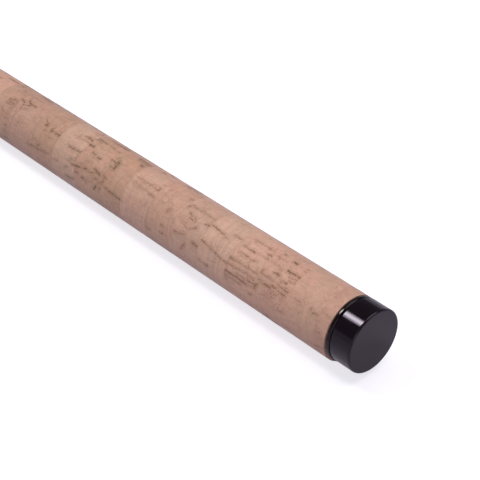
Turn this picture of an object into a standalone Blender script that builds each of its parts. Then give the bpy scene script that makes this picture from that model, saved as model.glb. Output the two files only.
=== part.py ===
"""Telescopic spinning rod, lying on its side with its sections pushed in.

The rod's axis is X. The origin is the middle of the butt cap's end face, and +X runs to the tip.
The bed of the reel seat and the line guides face -Y, and +Z is up.

Sizes are in metres. A turned piece is modelled from its own rear face and then placed along X.
"""

import math
from typing import NamedTuple

import bmesh
import bpy
from mathutils import Vector

MM = 0.001

# Fits
GLUE_GAP = 0.3 * MM
SLIDE_CLEARANCE = 0.2 * MM
THREAD_CLEARANCE = 0.3 * MM
RING_SEAT_GAP = 0.2 * MM
FLOAT_CLEARANCE = 0.15 * MM

# Cork grips
CORK_RADIUS = 10.85 * MM
CORK_RING_PITCH = 12.7 * MM
FIRST_CORK_LENGTH = 4.95 * MM
REAR_CORK_RINGS = 17
FORE_CORK_RINGS = 5
FOREGRIP_NOSE_LENGTH = 5.0 * MM
FOREGRIP_NOSE_DROP = 1.0 * MM

# Butt cap, its washer and pad, and the bush that it screws into
CAP_LENGTH = 7.5 * MM
CAP_STEP = 0.66 * MM
CAP_EDGE_ROUND = 0.34 * MM
WASHER_THICKNESS = 0.6 * MM
SPIGOT_LENGTH = 9.0 * MM
SPIGOT_NECK = 1.2 * MM
CAP_THREAD_PITCH = 1.5 * MM
CAP_THREAD_DEPTH = 0.45 * MM
CAP_TURNS = 8
PAD_THICKNESS = 2.5 * MM
PAD_RECESS = 0.5 * MM
BUSH_LENGTH = 10.0 * MM

# Blanks: the solid tip section, then the tubes that hold it, thinnest first
TIP_BUTT_RADIUS = 1.35 * MM
TIP_END_RADIUS = 0.7 * MM
SECTION_3_WALL = 0.5 * MM
SECTION_3_TAPER = 0.6 * MM
SECTION_2_WALL = 0.6 * MM
SECTION_2_TAPER = 0.85 * MM
SECTION_1_WALL = 0.65 * MM
SECTION_1_TAPER = 1.0 * MM
HANDLE_WALL = 0.8 * MM
HANDLE_TAPER = 0.9 * MM
JOINT_OVERLAP = 40.0 * MM
BARE_BLANK_LENGTH = 79.0 * MM

# Reel seat
SEAT_TRIM_WIDTH = 2.4 * MM
SEAT_TRIM_STEP = 0.35 * MM
SEAT_LENGTH = 110.0 * MM
SEAT_FLOOR = 0.9 * MM
SEAT_RADIUS = 10.6 * MM
SEAT_COLLAR = 3.0 * MM
SEAT_RAMP = 1.5 * MM
SEAT_THREAD_PITCH = 2.0 * MM
SEAT_THREAD_DEPTH = 0.6 * MM
SEAT_THREAD_LENGTH = 26.0 * MM
HOOD_FULLNESS = 3.0
HOOD_LENGTH = 18.0 * MM
HOOD_WALL = 1.1 * MM
POCKET_HEIGHT = 5.2 * MM
POCKET_DEPTH = 9.5 * MM
NUT_LENGTH = 11.0 * MM
NUT_RIDGE = 0.35 * MM
NUT_EDGE = 1.0 * MM
NUT_TURNS_TO_OPEN = 4
NUT_TURNS_TO_CLAMP = 3

# Front of the handle section
FRONT_CHECK_LENGTH = 5.0 * MM
FRONT_CHECK_STEP = 1.3 * MM
FRONT_CHECK_WALL = 0.7 * MM
WINDING_LENGTH = 22.0 * MM
WINDING_THICKNESS = 0.5 * MM
FERRULE_LENGTH = 7.0 * MM
FERRULE_WALL = 0.7 * MM

# Facets round each piece
HANDLE_SIDES = 24
NUT_SIDES = 48
MIDDLE_SIDES = 16
THIN_SIDES = 12
LEG_SIDES = 6
CERAMIC_SIDES = 6


class Guide(NamedTuple):
    """One line guide: a sleeve on the blank, and a ceramic ring in a metal ring on three legs."""

    sleeve_length: float
    sleeve_wall: float
    stop_width: float
    stop_height: float
    ring_radius: float
    ring_width: float
    holder_wall: float
    ceramic_wall: float
    clear_height: float
    setback: float
    leg_radius: float
    sides: int


GUIDE_1 = Guide(
    sleeve_length=18.0 * MM, sleeve_wall=0.55 * MM, stop_width=1.5 * MM, stop_height=0.6 * MM,
    ring_radius=12.0 * MM, ring_width=2.2 * MM, holder_wall=1.0 * MM, ceramic_wall=1.7 * MM,
    clear_height=8.0 * MM, setback=6.0 * MM, leg_radius=0.8 * MM, sides=HANDLE_SIDES)
GUIDE_2 = Guide(
    sleeve_length=15.0 * MM, sleeve_wall=0.5 * MM, stop_width=1.3 * MM, stop_height=0.6 * MM,
    ring_radius=7.5 * MM, ring_width=1.9 * MM, holder_wall=0.8 * MM, ceramic_wall=1.3 * MM,
    clear_height=5.5 * MM, setback=5.0 * MM, leg_radius=0.65 * MM, sides=MIDDLE_SIDES)
GUIDE_3 = Guide(
    sleeve_length=12.5 * MM, sleeve_wall=0.45 * MM, stop_width=1.1 * MM, stop_height=0.6 * MM,
    ring_radius=5.2 * MM, ring_width=1.7 * MM, holder_wall=0.7 * MM, ceramic_wall=1.1 * MM,
    clear_height=3.6 * MM, setback=4.2 * MM, leg_radius=0.55 * MM, sides=MIDDLE_SIDES)
FLOATING_GUIDE_A = Guide(
    sleeve_length=9.0 * MM, sleeve_wall=0.45 * MM, stop_width=0.9 * MM, stop_height=0.4 * MM,
    ring_radius=3.9 * MM, ring_width=1.5 * MM, holder_wall=0.6 * MM, ceramic_wall=0.9 * MM,
    clear_height=2.2 * MM, setback=3.2 * MM, leg_radius=0.45 * MM, sides=MIDDLE_SIDES)
FLOATING_GUIDE_B = Guide(
    sleeve_length=9.0 * MM, sleeve_wall=0.45 * MM, stop_width=0.9 * MM, stop_height=0.4 * MM,
    ring_radius=3.6 * MM, ring_width=1.5 * MM, holder_wall=0.6 * MM, ceramic_wall=0.9 * MM,
    clear_height=1.9 * MM, setback=3.2 * MM, leg_radius=0.45 * MM, sides=MIDDLE_SIDES)
TIP_TOP = Guide(
    sleeve_length=13.0 * MM, sleeve_wall=0.45 * MM, stop_width=0.9 * MM, stop_height=0.4 * MM,
    ring_radius=3.4 * MM, ring_width=1.5 * MM, holder_wall=0.6 * MM, ceramic_wall=0.9 * MM,
    clear_height=1.2 * MM, setback=1.8 * MM, leg_radius=0.5 * MM, sides=MIDDLE_SIDES)
TIP_TOP_END_WALL = 0.8 * MM
MIN_STOP_HEIGHT = 0.1 * MM
LEG_SPREAD = math.radians(55.0)
CUT_MARGIN = 1.0 * MM

# Radii of the blanks, worked outwards so that each tube clears the section inside it
SECTION_3_TIP = TIP_BUTT_RADIUS + SLIDE_CLEARANCE + SECTION_3_WALL
SECTION_3_BUTT = SECTION_3_TIP + SECTION_3_TAPER
SECTION_2_TIP = SECTION_3_BUTT + SLIDE_CLEARANCE + SECTION_2_WALL
SECTION_2_BUTT = SECTION_2_TIP + SECTION_2_TAPER
SECTION_1_TIP = SECTION_2_BUTT + SLIDE_CLEARANCE + SECTION_1_WALL
SECTION_1_BUTT = SECTION_1_TIP + SECTION_1_TAPER
HANDLE_TIP = SECTION_1_BUTT + SLIDE_CLEARANCE + HANDLE_WALL
HANDLE_BUTT = HANDLE_TIP + HANDLE_TAPER
GRIP_BORE = HANDLE_BUTT + GLUE_GAP

# Places along the handle, from the butt forwards
WASHER_X = CAP_LENGTH + GLUE_GAP
REAR_GRIP_X = WASHER_X + WASHER_THICKNESS + GLUE_GAP
REAR_RINGS_X = REAR_GRIP_X + FIRST_CORK_LENGTH
SEAT_TRIM_X = REAR_RINGS_X + REAR_CORK_RINGS * CORK_RING_PITCH
SEAT_X = SEAT_TRIM_X + SEAT_TRIM_WIDTH + GLUE_GAP
FOREGRIP_X = SEAT_X + SEAT_LENGTH + GLUE_GAP
FRONT_CHECK_X = FOREGRIP_X + FORE_CORK_RINGS * CORK_RING_PITCH
BARE_BLANK_X = FRONT_CHECK_X + FRONT_CHECK_LENGTH
HANDLE_END_X = BARE_BLANK_X + BARE_BLANK_LENGTH

# The cap's spigot and the pad on its end stop the sections, which all rest on the pad
BUSH_BORE = SECTION_1_BUTT + SLIDE_CLEARANCE
SPIGOT_RADIUS = BUSH_BORE - THREAD_CLEARANCE
PAD_X = CAP_LENGTH + SPIGOT_LENGTH + GLUE_GAP
SECTION_BUTT_X = PAD_X + PAD_THICKNESS + GLUE_GAP

# The guides' sleeves stand one behind the other in front of the handle
GUIDE_1_X = HANDLE_END_X + GLUE_GAP
SECTION_1_END_X = GUIDE_1_X + GUIDE_1.sleeve_length
GUIDE_2_X = SECTION_1_END_X + GLUE_GAP
SECTION_2_END_X = GUIDE_2_X + GUIDE_2.sleeve_length
GUIDE_3_X = SECTION_2_END_X + GLUE_GAP
SECTION_3_END_X = GUIDE_3_X + GUIDE_3.sleeve_length
FLOAT_A_X = SECTION_3_END_X + GLUE_GAP
FLOAT_B_X = FLOAT_A_X + FLOATING_GUIDE_A.sleeve_length + GLUE_GAP
TIP_TOP_X = FLOAT_B_X + FLOATING_GUIDE_B.sleeve_length + GLUE_GAP
TIP_END_X = TIP_TOP_X + TIP_TOP.sleeve_length - TIP_TOP_END_WALL - GLUE_GAP

# How far each section pulls out before its thick butt stops in the tube's end
SECTION_1_TRAVEL = HANDLE_END_X - JOINT_OVERLAP - SECTION_BUTT_X
SECTION_2_TRAVEL = SECTION_1_END_X - JOINT_OVERLAP - SECTION_BUTT_X
SECTION_3_TRAVEL = SECTION_2_END_X - JOINT_OVERLAP - SECTION_BUTT_X
TIP_TRAVEL = SECTION_3_END_X - JOINT_OVERLAP - SECTION_BUTT_X
FLOAT_A_RATIO = -2.0 / 3.0
FLOAT_B_RATIO = -1.0 / 3.0

# Reel seat: the bed is a flat just outside the blank, and the thread is cut into the barrel
SEAT_BORE = GRIP_BORE
SEAT_BED = SEAT_BORE + SEAT_FLOOR
HOOD_BORE = SEAT_RADIUS + THREAD_CLEARANCE
SEAT_FRONT_COLLAR = SEAT_COLLAR + SEAT_RAMP
THREAD_END_X = SEAT_X + SEAT_LENGTH - SEAT_FRONT_COLLAR
THREAD_START_X = THREAD_END_X - SEAT_THREAD_LENGTH
NUT_X = THREAD_END_X - NUT_LENGTH - NUT_TURNS_TO_OPEN * SEAT_THREAD_PITCH
SLIDING_HOOD_X = NUT_X - GLUE_GAP - HOOD_LENGTH

body_x = {}


# Materials

def principled(name, colour, roughness, metallic=0.0):
    """A material with a plain Principled BSDF."""
    material = bpy.data.materials.new(name)
    material.use_nodes = True
    shader = material.node_tree.nodes["Principled BSDF"]
    shader.inputs["Base Color"].default_value = (*colour, 1.0)
    shader.inputs["Roughness"].default_value = roughness
    shader.inputs["Metallic"].default_value = metallic
    material.diffuse_color = (*colour, 1.0)
    return material


CORK_TONES = ((0.60, 0.36, 0.23), (0.55, 0.34, 0.22), (0.62, 0.40, 0.28))


def cork_material(index):
    """Neighbouring cork rings are cut from different sheets, so their tones differ."""
    return principled(f"cork_{index}", CORK_TONES[index % len(CORK_TONES)], 0.75)


# Mesh helpers

def add_ring(bm, x, radius, sides, centre_y=0.0):
    """A polygon square to X, with flats facing Y and Z. radius is a number or a function."""
    ring = []
    for index in range(sides):
        angle = 2.0 * math.pi * (index + 0.5) / sides
        length = radius(index, angle) if callable(radius) else radius
        ring.append(bm.verts.new((x, centre_y - length * math.cos(angle), length * math.sin(angle))))
    return ring


def flatted_angle(index, sides, radius, flat):
    """Angle from -Y of a corner on a round that a flat cuts at the distance flat."""
    corner = math.acos(flat / radius)
    return corner + (2.0 * math.pi - 2.0 * corner) * index / (sides - 1)


def add_flatted_ring(bm, x, radius, flat, sides):
    """A round outline with its -Y side cut off flat."""
    ring = []
    for index in range(sides):
        angle = flatted_angle(index, sides, radius, flat)
        ring.append(bm.verts.new((x, -radius * math.cos(angle), radius * math.sin(angle))))
    return ring


def bridge(bm, first, second):
    """Quads between two rings of as many corners."""
    count = len(first)
    for index in range(count):
        after = (index + 1) % count
        bm.faces.new((first[index], first[after], second[after], second[index]))


def skin(bm, rings):
    """Quads along a row of rings, with both ends left open."""
    for first, second in zip(rings, rings[1:]):
        bridge(bm, first, second)


def close_rings(bm, rings, hollow):
    """Skin a row of rings: a hollow piece joins the last to the first, a solid one fills its ends."""
    skin(bm, rings)
    if hollow:
        bridge(bm, rings[-1], rings[0])
    else:
        bm.faces.new(rings[0])
        bm.faces.new(rings[-1])


def finish_mesh(bm, name, crease_degrees=35.0):
    """Outward normals, smooth shading with sharp edges, and the mesh itself."""
    bmesh.ops.recalc_face_normals(bm, faces=bm.faces[:])
    mesh = bpy.data.meshes.new(name)
    bm.to_mesh(mesh)
    bm.free()
    mesh.shade_smooth()
    mesh.set_sharp_from_angle(angle=math.radians(crease_degrees))
    return mesh


def turned(name, profile, sides, hollow=True, centre_y=0.0):
    """A piece turned about an axis along X, from a profile of (x, radius) points.

    A hollow piece's profile runs right round its section, outside first. A solid one's runs
    along the outside only.
    """
    bm = bmesh.new()
    rings = [add_ring(bm, x, radius, sides, centre_y) for x, radius in profile]
    close_rings(bm, rings, hollow)
    return finish_mesh(bm, name)


def tube(name, length, outer, bore, sides):
    """A plain tube with square ends."""
    return turned(name, [(0.0, outer), (length, outer), (length, bore), (0.0, bore)], sides)


def add_thread(bm, before, after, start, root, depth, pitch, turns, sides, angle_of):
    """A right-hand helical thread between the plain rings before and after.

    The thread starts at x = start and takes turns + 1 pitches. Its depth fades in and out over
    half a turn. angle_of gives a corner's angle from its index and radius.
    """
    steps = ((0.0, 0.0), (0.5, 1.0))  # root and crest: share of a pitch, share of the depth
    fade_turns = 0.5
    first_phase = angle_of(0, root) / (2.0 * math.pi)
    last_phase = turns - 1 + angle_of(sides - 1, root) / (2.0 * math.pi)
    columns = []
    for index in range(sides):
        column = []
        for row in range(len(steps) * turns + 1):
            turn, step = divmod(row, len(steps))
            offset, height = steps[step]
            phase = turn + angle_of(index, root) / (2.0 * math.pi)
            fade = min(1.0, (phase - first_phase) / fade_turns, (last_phase - phase) / fade_turns)
            radius = root + depth * height * max(0.0, fade)
            angle = angle_of(index, radius)
            x = start + pitch * (phase + offset)
            column.append(bm.verts.new((x, -radius * math.cos(angle), radius * math.sin(angle))))
        columns.append(column)

    rows = len(steps)
    last = rows * turns
    for left, right in zip(columns, columns[1:]):
        for row in range(last):
            bm.faces.new((left[row], left[row + 1], right[row + 1], right[row]))
    for row in range(last - rows):
        bm.faces.new((columns[-1][row], columns[-1][row + 1],
                      columns[0][row + rows + 1], columns[0][row + rows]))
    for index in range(sides - 1):
        bm.faces.new((before[index], before[index + 1], columns[index + 1][0], columns[index][0]))
        bm.faces.new((columns[index][last], columns[index + 1][last], after[index + 1], after[index]))
    bm.faces.new([before[-1], before[0], *columns[0][:rows + 1], columns[-1][0]])
    bm.faces.new([*columns[-1][last - rows:], after[-1], after[0], columns[0][last]])


def add_body(name, x, parent=None, travel=None, turns=None):
    """An empty on the rod's axis that carries the pieces of one moving body.

    travel is how far it slides along X from the closed rod, and turns how far it screws.
    """
    empty = bpy.data.objects.new(f"{name}_axis", None)
    bpy.context.scene.collection.objects.link(empty)
    body_x[empty.name] = x
    if parent is not None:
        empty.parent = parent
        empty.location.x = x - body_x[parent.name]
    else:
        empty.location.x = x
    if travel is not None:
        empty["travel_m"] = travel
    if turns is not None:
        empty["turns"] = turns
    return empty


def add_piece(name, mesh, body, x, material):
    """Place a mesh along the rod, carried by its body."""
    mesh.materials.clear()
    mesh.materials.append(material)
    piece = bpy.data.objects.new(name, mesh)
    bpy.context.scene.collection.objects.link(piece)
    piece.parent = body
    piece.location.x = x - body_x[body.name]
    return piece


def combine(name, base, joined, cut):
    """Union the base mesh with the joined meshes, then take away the cut ones."""
    scene = bpy.context.scene
    target = bpy.data.objects.new(name, base)
    scene.collection.objects.link(target)
    helpers = []
    for operation, meshes in (("UNION", joined), ("DIFFERENCE", cut)):
        for mesh in meshes:
            helper = bpy.data.objects.new(mesh.name, mesh)
            helper.hide_render = True
            helper.display_type = "WIRE"
            scene.collection.objects.link(helper)
            modifier = target.modifiers.new(operation.title(), "BOOLEAN")
            modifier.operation = operation
            modifier.object = helper
            helpers.append(helper)
    depsgraph = bpy.context.evaluated_depsgraph_get()
    mesh = bpy.data.meshes.new_from_object(target.evaluated_get(depsgraph))
    for helper in [*helpers, target]:
        bpy.data.objects.remove(helper)
    mesh.shade_smooth()
    mesh.set_sharp_from_angle(angle=math.radians(35.0))
    return mesh


# Blanks

def tube_blank(name, length, straight, butt_radius, tip_radius, wall, sides):
    """A hollow blank: a straight butt of the given length, then a taper to its tip."""
    profile = [(0.0, butt_radius), (straight, butt_radius), (length, tip_radius),
               (length, tip_radius - wall), (straight, butt_radius - wall), (0.0, butt_radius - wall)]
    return turned(name, profile, sides)


def handle_radius(x):
    """Outside radius of the handle blank at x on its tapered front."""
    share = (x - BARE_BLANK_X) / BARE_BLANK_LENGTH
    return HANDLE_BUTT - HANDLE_TAPER * min(1.0, max(0.0, share))


def tip_blank_radius(x):
    """Radius of the tip blank at x, counted where it lies with the rod closed."""
    taper_start = SECTION_BUTT_X + JOINT_OVERLAP
    share = (x - taper_start) / (TIP_END_X - taper_start)
    return TIP_BUTT_RADIUS - (TIP_BUTT_RADIUS - TIP_END_RADIUS) * min(1.0, max(0.0, share))


def make_sections(bodies):
    """The three hollow sections and the solid tip, all with their butts on the pad."""
    carbon = principled("carbon_blank", (0.020, 0.020, 0.024), 0.25)
    sections = (
        ("section_1", SECTION_1_END_X, SECTION_1_BUTT, SECTION_1_TIP, SECTION_1_WALL, HANDLE_SIDES),
        ("section_2", SECTION_2_END_X, SECTION_2_BUTT, SECTION_2_TIP, SECTION_2_WALL, MIDDLE_SIDES),
        ("section_3", SECTION_3_END_X, SECTION_3_BUTT, SECTION_3_TIP, SECTION_3_WALL, MIDDLE_SIDES),
    )
    for name, end_x, butt_radius, tip_radius, wall, sides in sections:
        mesh = tube_blank(f"{name}_blank", end_x - SECTION_BUTT_X, JOINT_OVERLAP,
                          butt_radius, tip_radius, wall, sides)
        add_piece(f"{name}_blank", mesh, bodies[name], SECTION_BUTT_X, carbon)
    length = TIP_END_X - SECTION_BUTT_X
    profile = [(0.0, TIP_BUTT_RADIUS), (JOINT_OVERLAP, TIP_BUTT_RADIUS), (length, TIP_END_RADIUS)]
    mesh = turned("tip_blank", profile, THIN_SIDES, hollow=False)
    add_piece("tip_blank", mesh, bodies["tip_section"], SECTION_BUTT_X, carbon)


# Handle

def make_cork_ring(name, body, index, x, length, nose=False):
    """One ring of cork, glued on the blank. The foregrip's front ring has a tapered nose."""
    profile = [(0.0, CORK_RADIUS), (length, CORK_RADIUS), (length, GRIP_BORE), (0.0, GRIP_BORE)]
    if nose:
        profile[1] = (length - FOREGRIP_NOSE_LENGTH, CORK_RADIUS)
        profile.insert(2, (length, CORK_RADIUS - FOREGRIP_NOSE_DROP))
    mesh = turned(name, profile, HANDLE_SIDES)
    add_piece(name, mesh, body, x, cork_material(index))


def make_grips(handle):
    """The rear grip, which starts with a short trimmed ring, and the foregrip."""
    ring_length = CORK_RING_PITCH - GLUE_GAP
    make_cork_ring("rear_cork_ring_01", handle, 0, REAR_GRIP_X, FIRST_CORK_LENGTH - GLUE_GAP)
    for index in range(REAR_CORK_RINGS):
        x = REAR_RINGS_X + index * CORK_RING_PITCH
        make_cork_ring(f"rear_cork_ring_{index + 2:02d}", handle, index + 1, x, ring_length)
    for index in range(FORE_CORK_RINGS):
        x = FOREGRIP_X + index * CORK_RING_PITCH
        make_cork_ring(f"fore_cork_ring_{index + 1}", handle, index, x, ring_length,
                       nose=index == FORE_CORK_RINGS - 1)


def make_handle_blank(handle):
    """The thick tube that the grips and the reel seat are glued on, and its front trim."""
    carbon = principled("handle_carbon", (0.022, 0.022, 0.026), 0.22)
    mesh = tube_blank("handle_blank", HANDLE_END_X - REAR_GRIP_X, BARE_BLANK_X - REAR_GRIP_X,
                      HANDLE_BUTT, HANDLE_TIP, HANDLE_WALL, HANDLE_SIDES)
    add_piece("handle_blank", mesh, handle, REAR_GRIP_X, carbon)

    metal = principled("gunmetal_trim", (0.24, 0.24, 0.26), 0.3, 1.0)
    bore = GRIP_BORE
    profile = [(0.0, CORK_RADIUS - FRONT_CHECK_STEP), (FRONT_CHECK_LENGTH, bore + FRONT_CHECK_WALL),
               (FRONT_CHECK_LENGTH, bore), (0.0, bore)]
    add_piece("front_winding_check", turned("front_winding_check", profile, HANDLE_SIDES),
              handle, FRONT_CHECK_X, metal)

    ferrule_x = HANDLE_END_X - FERRULE_LENGTH
    rear = handle_radius(ferrule_x) + GLUE_GAP
    front = HANDLE_TIP + GLUE_GAP
    profile = [(0.0, rear + FERRULE_WALL), (FERRULE_LENGTH, rear + FERRULE_WALL),
               (FERRULE_LENGTH, front), (0.0, rear)]
    add_piece("handle_tip_ferrule", turned("handle_tip_ferrule", profile, HANDLE_SIDES),
              handle, ferrule_x, metal)

    thread = principled("whipping_thread", (0.03, 0.03, 0.035), 0.3)
    winding_x = ferrule_x - GLUE_GAP - WINDING_LENGTH
    rear = handle_radius(winding_x) + GLUE_GAP
    front = handle_radius(winding_x + WINDING_LENGTH) + GLUE_GAP
    profile = [(0.0, rear + WINDING_THICKNESS), (WINDING_LENGTH, front + WINDING_THICKNESS),
               (WINDING_LENGTH, front), (0.0, rear)]
    add_piece("handle_tip_winding", turned("handle_tip_winding", profile, HANDLE_SIDES),
              handle, winding_x, thread)


# Butt cap

def make_butt(bodies):
    """The bush in the blank, the screw cap with its pad, and the washer under its head."""
    metal = principled("bush_aluminium", (0.55, 0.55, 0.57), 0.35, 1.0)
    bush_radius = HANDLE_BUTT - HANDLE_WALL - GLUE_GAP
    add_piece("butt_bush", tube("butt_bush", BUSH_LENGTH, bush_radius, BUSH_BORE, HANDLE_SIDES),
              bodies["handle"], REAR_GRIP_X, metal)

    rubber = principled("black_rubber", (0.018, 0.018, 0.020), 0.7)
    washer = tube("cap_washer", WASHER_THICKNESS, CORK_RADIUS, BUSH_BORE, HANDLE_SIDES)
    add_piece("cap_washer", washer, bodies["cap_washer"], WASHER_X, rubber)
    pad_radius = SPIGOT_RADIUS - PAD_RECESS
    pad = turned("damper_pad", [(0.0, pad_radius), (PAD_THICKNESS, pad_radius)],
                 HANDLE_SIDES, hollow=False)
    add_piece("damper_pad", pad, bodies["butt_cap"], PAD_X, rubber)

    gloss = principled("gloss_black_cap", (0.012, 0.011, 0.014), 0.12)
    add_piece("butt_cap", cap_mesh(), bodies["butt_cap"], 0.0, gloss)


def cap_mesh():
    """The cap's head with its rounded edge, and the threaded spigot behind it."""
    radius = CORK_RADIUS - CAP_STEP
    root = SPIGOT_RADIUS - CAP_THREAD_DEPTH
    half = math.radians(45.0)
    head = [(0.0, radius - CAP_EDGE_ROUND),
            (CAP_EDGE_ROUND * (1.0 - math.sin(half)), radius - CAP_EDGE_ROUND * (1.0 - math.cos(half))),
            (CAP_EDGE_ROUND, radius),
            (CAP_LENGTH - CAP_EDGE_ROUND, radius),
            (CAP_LENGTH, radius - CAP_EDGE_ROUND),
            (CAP_LENGTH, root)]
    bm = bmesh.new()
    rings = [add_ring(bm, x, ring_radius, HANDLE_SIDES) for x, ring_radius in head]
    skin(bm, rings)
    bm.faces.new(rings[0])

    spigot_end = CAP_LENGTH + SPIGOT_LENGTH
    end_ring = add_ring(bm, spigot_end, root, HANDLE_SIDES)
    bm.faces.new(end_ring)
    thread_room = SPIGOT_LENGTH - 2.0 * SPIGOT_NECK
    turns = max(1, math.floor(thread_room / CAP_THREAD_PITCH) - 1)

    def plain_angle(index, _radius):
        return 2.0 * math.pi * (index + 0.5) / HANDLE_SIDES

    add_thread(bm, rings[-1], end_ring, CAP_LENGTH + SPIGOT_NECK, root, CAP_THREAD_DEPTH,
               CAP_THREAD_PITCH, turns, HANDLE_SIDES, plain_angle)
    return finish_mesh(bm, "butt_cap")


# Reel seat

def barrel_mesh():
    """The seat's barrel: a tube with a flat bed for the reel's foot, threaded at its front."""
    bm = bmesh.new()
    flat_start = SEAT_COLLAR + SEAT_RAMP
    thread_start = THREAD_START_X - SEAT_X
    thread_end = THREAD_END_X - SEAT_X
    root = SEAT_RADIUS - SEAT_THREAD_DEPTH
    outer = [
        add_ring(bm, 0.0, SEAT_RADIUS, HANDLE_SIDES),
        add_ring(bm, SEAT_COLLAR, SEAT_RADIUS, HANDLE_SIDES),
        add_flatted_ring(bm, flat_start, SEAT_RADIUS, SEAT_BED, HANDLE_SIDES),
        add_flatted_ring(bm, thread_start - SEAT_RAMP, SEAT_RADIUS, SEAT_BED, HANDLE_SIDES),
        add_flatted_ring(bm, thread_start, root, SEAT_BED, HANDLE_SIDES),
    ]
    front = [
        add_flatted_ring(bm, thread_end, root, SEAT_BED, HANDLE_SIDES),
        add_ring(bm, thread_end + SEAT_RAMP, SEAT_RADIUS, HANDLE_SIDES),
        add_ring(bm, SEAT_LENGTH, SEAT_RADIUS, HANDLE_SIDES),
        add_ring(bm, SEAT_LENGTH, SEAT_BORE, HANDLE_SIDES),
        add_ring(bm, 0.0, SEAT_BORE, HANDLE_SIDES),
    ]
    skin(bm, outer)
    skin(bm, front)
    bridge(bm, front[-1], outer[0])

    def angle_on_flat(index, radius):
        return flatted_angle(index, HANDLE_SIDES, radius, SEAT_BED)

    turns = max(1, math.floor(SEAT_THREAD_LENGTH / SEAT_THREAD_PITCH) - 1)
    add_thread(bm, outer[-1], front[0], thread_start, root, SEAT_THREAD_DEPTH,
               SEAT_THREAD_PITCH, turns, HANDLE_SIDES, angle_on_flat)
    return finish_mesh(bm, "reel_seat_barrel")


def hood_outline(bore, roof):
    """A round outline that swells on its -Y side to a rounded pocket as high as roof."""
    def radius(_index, angle):
        across = math.cos(angle)
        if across <= 0.0 or roof <= bore:
            return bore
        swell = (across / roof) ** HOOD_FULLNESS + (abs(math.sin(angle)) / bore) ** HOOD_FULLNESS
        return max(bore, swell ** (-1.0 / HOOD_FULLNESS))

    return radius


def hood_mesh(name, mouth_forward):
    """A hood for one end of the reel's foot: a ring, and a pocket whose roof slopes shut."""
    roof = SEAT_BED + POCKET_HEIGHT
    stations = ((0.0, HOOD_BORE), (HOOD_LENGTH - POCKET_DEPTH, roof), (HOOD_LENGTH, roof))
    bm = bmesh.new()
    outer = []
    inner = []
    for x, height in stations:
        place = x if mouth_forward else HOOD_LENGTH - x
        outer.append(add_ring(bm, place, hood_outline(HOOD_BORE + HOOD_WALL, height + HOOD_WALL),
                              HANDLE_SIDES))
        inner.append(add_ring(bm, place, hood_outline(HOOD_BORE, height), HANDLE_SIDES))
    close_rings(bm, [*outer, *reversed(inner)], hollow=True)
    return finish_mesh(bm, name)


def nut_mesh():
    """The locking nut, a ring with grip ridges all round."""
    bore = HOOD_BORE
    outer = bore + HOOD_WALL

    def ridged(index, _angle):
        return outer if index % 2 else outer - NUT_RIDGE

    edge = outer - NUT_RIDGE
    bm = bmesh.new()
    rings = [
        add_ring(bm, 0.0, edge, NUT_SIDES),
        add_ring(bm, NUT_EDGE, ridged, NUT_SIDES),
        add_ring(bm, NUT_LENGTH - NUT_EDGE, ridged, NUT_SIDES),
        add_ring(bm, NUT_LENGTH, edge, NUT_SIDES),
        add_ring(bm, NUT_LENGTH, bore, NUT_SIDES),
        add_ring(bm, 0.0, bore, NUT_SIDES),
    ]
    close_rings(bm, rings, hollow=True)
    return finish_mesh(bm, "locking_nut", crease_degrees=10.0)


def make_reel_seat(bodies):
    """The trim ring, the barrel with its fixed hood, and the hood and nut that clamp the reel."""
    plastic = principled("black_seat_plastic", (0.016, 0.016, 0.018), 0.28)
    steel = principled("polished_hood_steel", (0.62, 0.62, 0.64), 0.18, 1.0)
    handle = bodies["handle"]
    trim_radius = CORK_RADIUS + SEAT_TRIM_STEP
    trim = tube("seat_trim_ring", SEAT_TRIM_WIDTH, trim_radius, GRIP_BORE, HANDLE_SIDES)
    add_piece("seat_trim_ring", trim, handle, SEAT_TRIM_X, steel)
    add_piece("reel_seat_barrel", barrel_mesh(), handle, SEAT_X, plastic)
    add_piece("fixed_hood", hood_mesh("fixed_hood", True), handle, SEAT_X, steel)
    add_piece("sliding_hood", hood_mesh("sliding_hood", False),
              bodies["sliding_hood"], SLIDING_HOOD_X, steel)
    add_piece("locking_nut", nut_mesh(), bodies["locking_nut"], NUT_X, plastic)


# Guides

def bar(name, start, end, radius):
    """A straight leg between two points."""
    bm = bmesh.new()
    along = (end - start).normalized()
    side = along.orthogonal().normalized()
    other = along.cross(side)
    rings = []
    for centre in (start, end):
        ring = []
        for index in range(LEG_SIDES):
            angle = 2.0 * math.pi * index / LEG_SIDES
            ring.append(bm.verts.new(centre + (side * math.cos(angle) + other * math.sin(angle)) * radius))
        rings.append(ring)
    close_rings(bm, rings, hollow=False)
    return finish_mesh(bm, name)


def guide_centre_y(guide, bore):
    """Distance from the rod's axis to the middle of the guide's ring, towards -Y."""
    return -(bore + guide.sleeve_wall + guide.clear_height + guide.ring_radius)


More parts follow.
